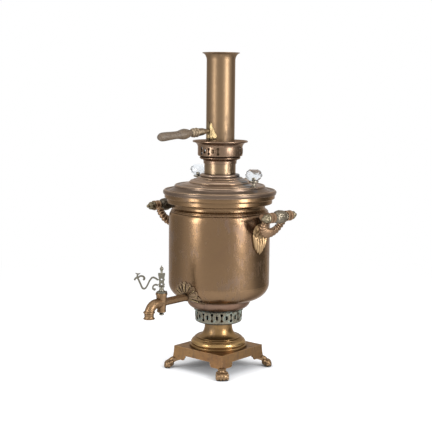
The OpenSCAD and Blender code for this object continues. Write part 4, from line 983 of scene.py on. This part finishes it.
def away_from_dark(n, heading):
    """1 where a heading meets the white backdrop, less toward the studio's dark sides.

    The camera itself always sees white."""
    dark = None
    for azimuth, width, level in DARK_SIDES:
        angle = math.radians(azimuth)
        toward = n.measure("DOT_PRODUCT", heading, (math.cos(angle), math.sin(angle), 0))
        side = n.times(n.ramp(toward, math.cos(math.radians(width)), 1.0), 1 - level)
        dark = n.math("MAXIMUM", dark, side) if dark else side
    unseen = n.math("SUBTRACT", 1.0, n.add("LightPath").outputs["Is Camera Ray"])
    return n.math("SUBTRACT", 1.0, n.times(dark, unseen))


def make_world(fill):
    """White backdrop, which lights the object at the strength of fill."""
    world = bpy.data.worlds.new("studio")
    bpy.context.scene.world = world
    world.use_nodes = True
    n = Nodes(world.node_tree)
    backdrop = n.add("Background")
    level = n.between(seen_directly(n), fill, 1.0)
    open_side = away_from_dark(n, n.add("TexCoord").outputs["Generated"])
    n.link(n.times(level, open_side), backdrop, "Strength")
    backdrop.inputs["Color"].default_value = (1, 1, 1, 1)
    n.link(backdrop.outputs["Background"], n.add("OutputWorld"), "Surface")


def make_floor(radius, fade_from, fade_to, glow):
    """A pale floor that fades into the white backdrop away from the object.

    Near the object it is paper that catches the shadow, and glows for the rays that see it; the
    glow fades where something is near, which paints a soft shadow round the object."""
    mesh = bpy.data.meshes.new("floor")
    mesh.from_pydata([(radius * math.cos(angle), radius * math.sin(angle), -0.0002)
                      for angle in circle(64)], [], [list(range(64))])
    floor = bpy.data.objects.new("floor", mesh)
    bpy.context.scene.collection.objects.link(floor)
    material, n = new_material("floor")
    place = n.add("TexCoord").outputs["Object"]
    heading = n.add("VectorMath", operation="NORMALIZE")
    n.link(place, heading, "Vector")
    open_side = away_from_dark(n, heading.outputs["Vector"])

    paper = n.add("BsdfDiffuse")
    paper.inputs["Color"].default_value = PAPER
    # Painted shadow: the floor's glow fades where ambient occlusion finds the object near.
    painted_shadow_ao = n.add("AmbientOcclusion", samples=16)
    painted_shadow_ao.inputs["Distance"].default_value = PAINTED_SHADOW_REACH
    glow_share_outside_painted_shadow = n.times(n.math("POWER", painted_shadow_ao.outputs["AO"], 1.6), open_side)
    lift = n.add("Emission")
    n.link(n.times(n.times(seen_directly(n), glow), glow_share_outside_painted_shadow), lift, "Strength")
    near = n.add("AddShader")
    n.link(paper.outputs["BSDF"], near, 0)
    n.link(lift.outputs["Emission"], near, 1)

    far = n.add("Emission")
    n.link(n.times(n.between(seen_directly(n), FAR_FILL, 1.0), open_side), far, "Strength")
    both = n.add("MixShader")
    n.link(n.ramp(n.measure("LENGTH", place), fade_from, fade_to), both, "Fac")
    n.link(near.outputs["Shader"], both, 1)
    n.link(far.outputs["Emission"], both, 2)
    n.link(both.outputs["Shader"], n.add("OutputMaterial"), "Surface")
    floor.data.materials.append(material)


def softbox(name, azimuth, distance, height, size, power):
    """Area lamp at an azimuth seen from above, in degrees from +X, that faces the object."""
    data = bpy.data.lights.new(name, "AREA")
    data.shape = "RECTANGLE"
    data.size, data.size_y = size
    data.energy = power
    lamp = bpy.data.objects.new(name, data)
    bpy.context.scene.collection.objects.link(lamp)
    angle = math.radians(azimuth)
    lamp.location = (distance * math.cos(angle), distance * math.sin(angle), height)
    lamp.rotation_euler = (LAMP_AIM - lamp.location).to_track_quat("-Z", "Y").to_euler()


def make_camera():
    data = bpy.data.cameras.new("camera")
    data.sensor_width = 36
    data.lens = FOCAL_PIXELS / PHOTO_WIDTH * data.sensor_width
    camera = bpy.data.objects.new("camera", data)
    bpy.context.scene.collection.objects.link(camera)
    azimuth, pitch, roll = (math.radians(a) for a in (VIEW_AZIMUTH, VIEW_PITCH, VIEW_ROLL))
    back = Vector((math.sin(azimuth), -math.cos(azimuth), 0))
    side = Vector((math.cos(azimuth), math.sin(azimuth), 0))
    turn = (Matrix.Rotation(azimuth, 4, "Z") @ Matrix.Rotation(math.pi / 2 - pitch, 4, "X")
            @ Matrix.Rotation(roll, 4, "Z"))
    place = back * VIEW_DISTANCE + side * VIEW_SIDE + Vector((0, 0, VIEW_HEIGHT))
    camera.matrix_world = Matrix.Translation(place) @ turn
    bpy.context.scene.camera = camera


make_camera()
make_world(fill=0.35)
make_floor(radius=6, fade_from=0.5, fade_to=1.6, glow=0.72)
softbox("right_box", CAMERA_SIDE + 49, distance=1.15, height=0.62, size=(0.32, 0.78), power=15.5)
softbox("left_box", CAMERA_SIDE - 52, distance=1.15, height=0.62, size=(0.27, 0.78), power=8.2)
softbox("top_box", CAMERA_SIDE, distance=0.5, height=2.2, size=(1.2, 1.2), power=8)

bpy.context.scene.view_settings.view_transform = "Standard"
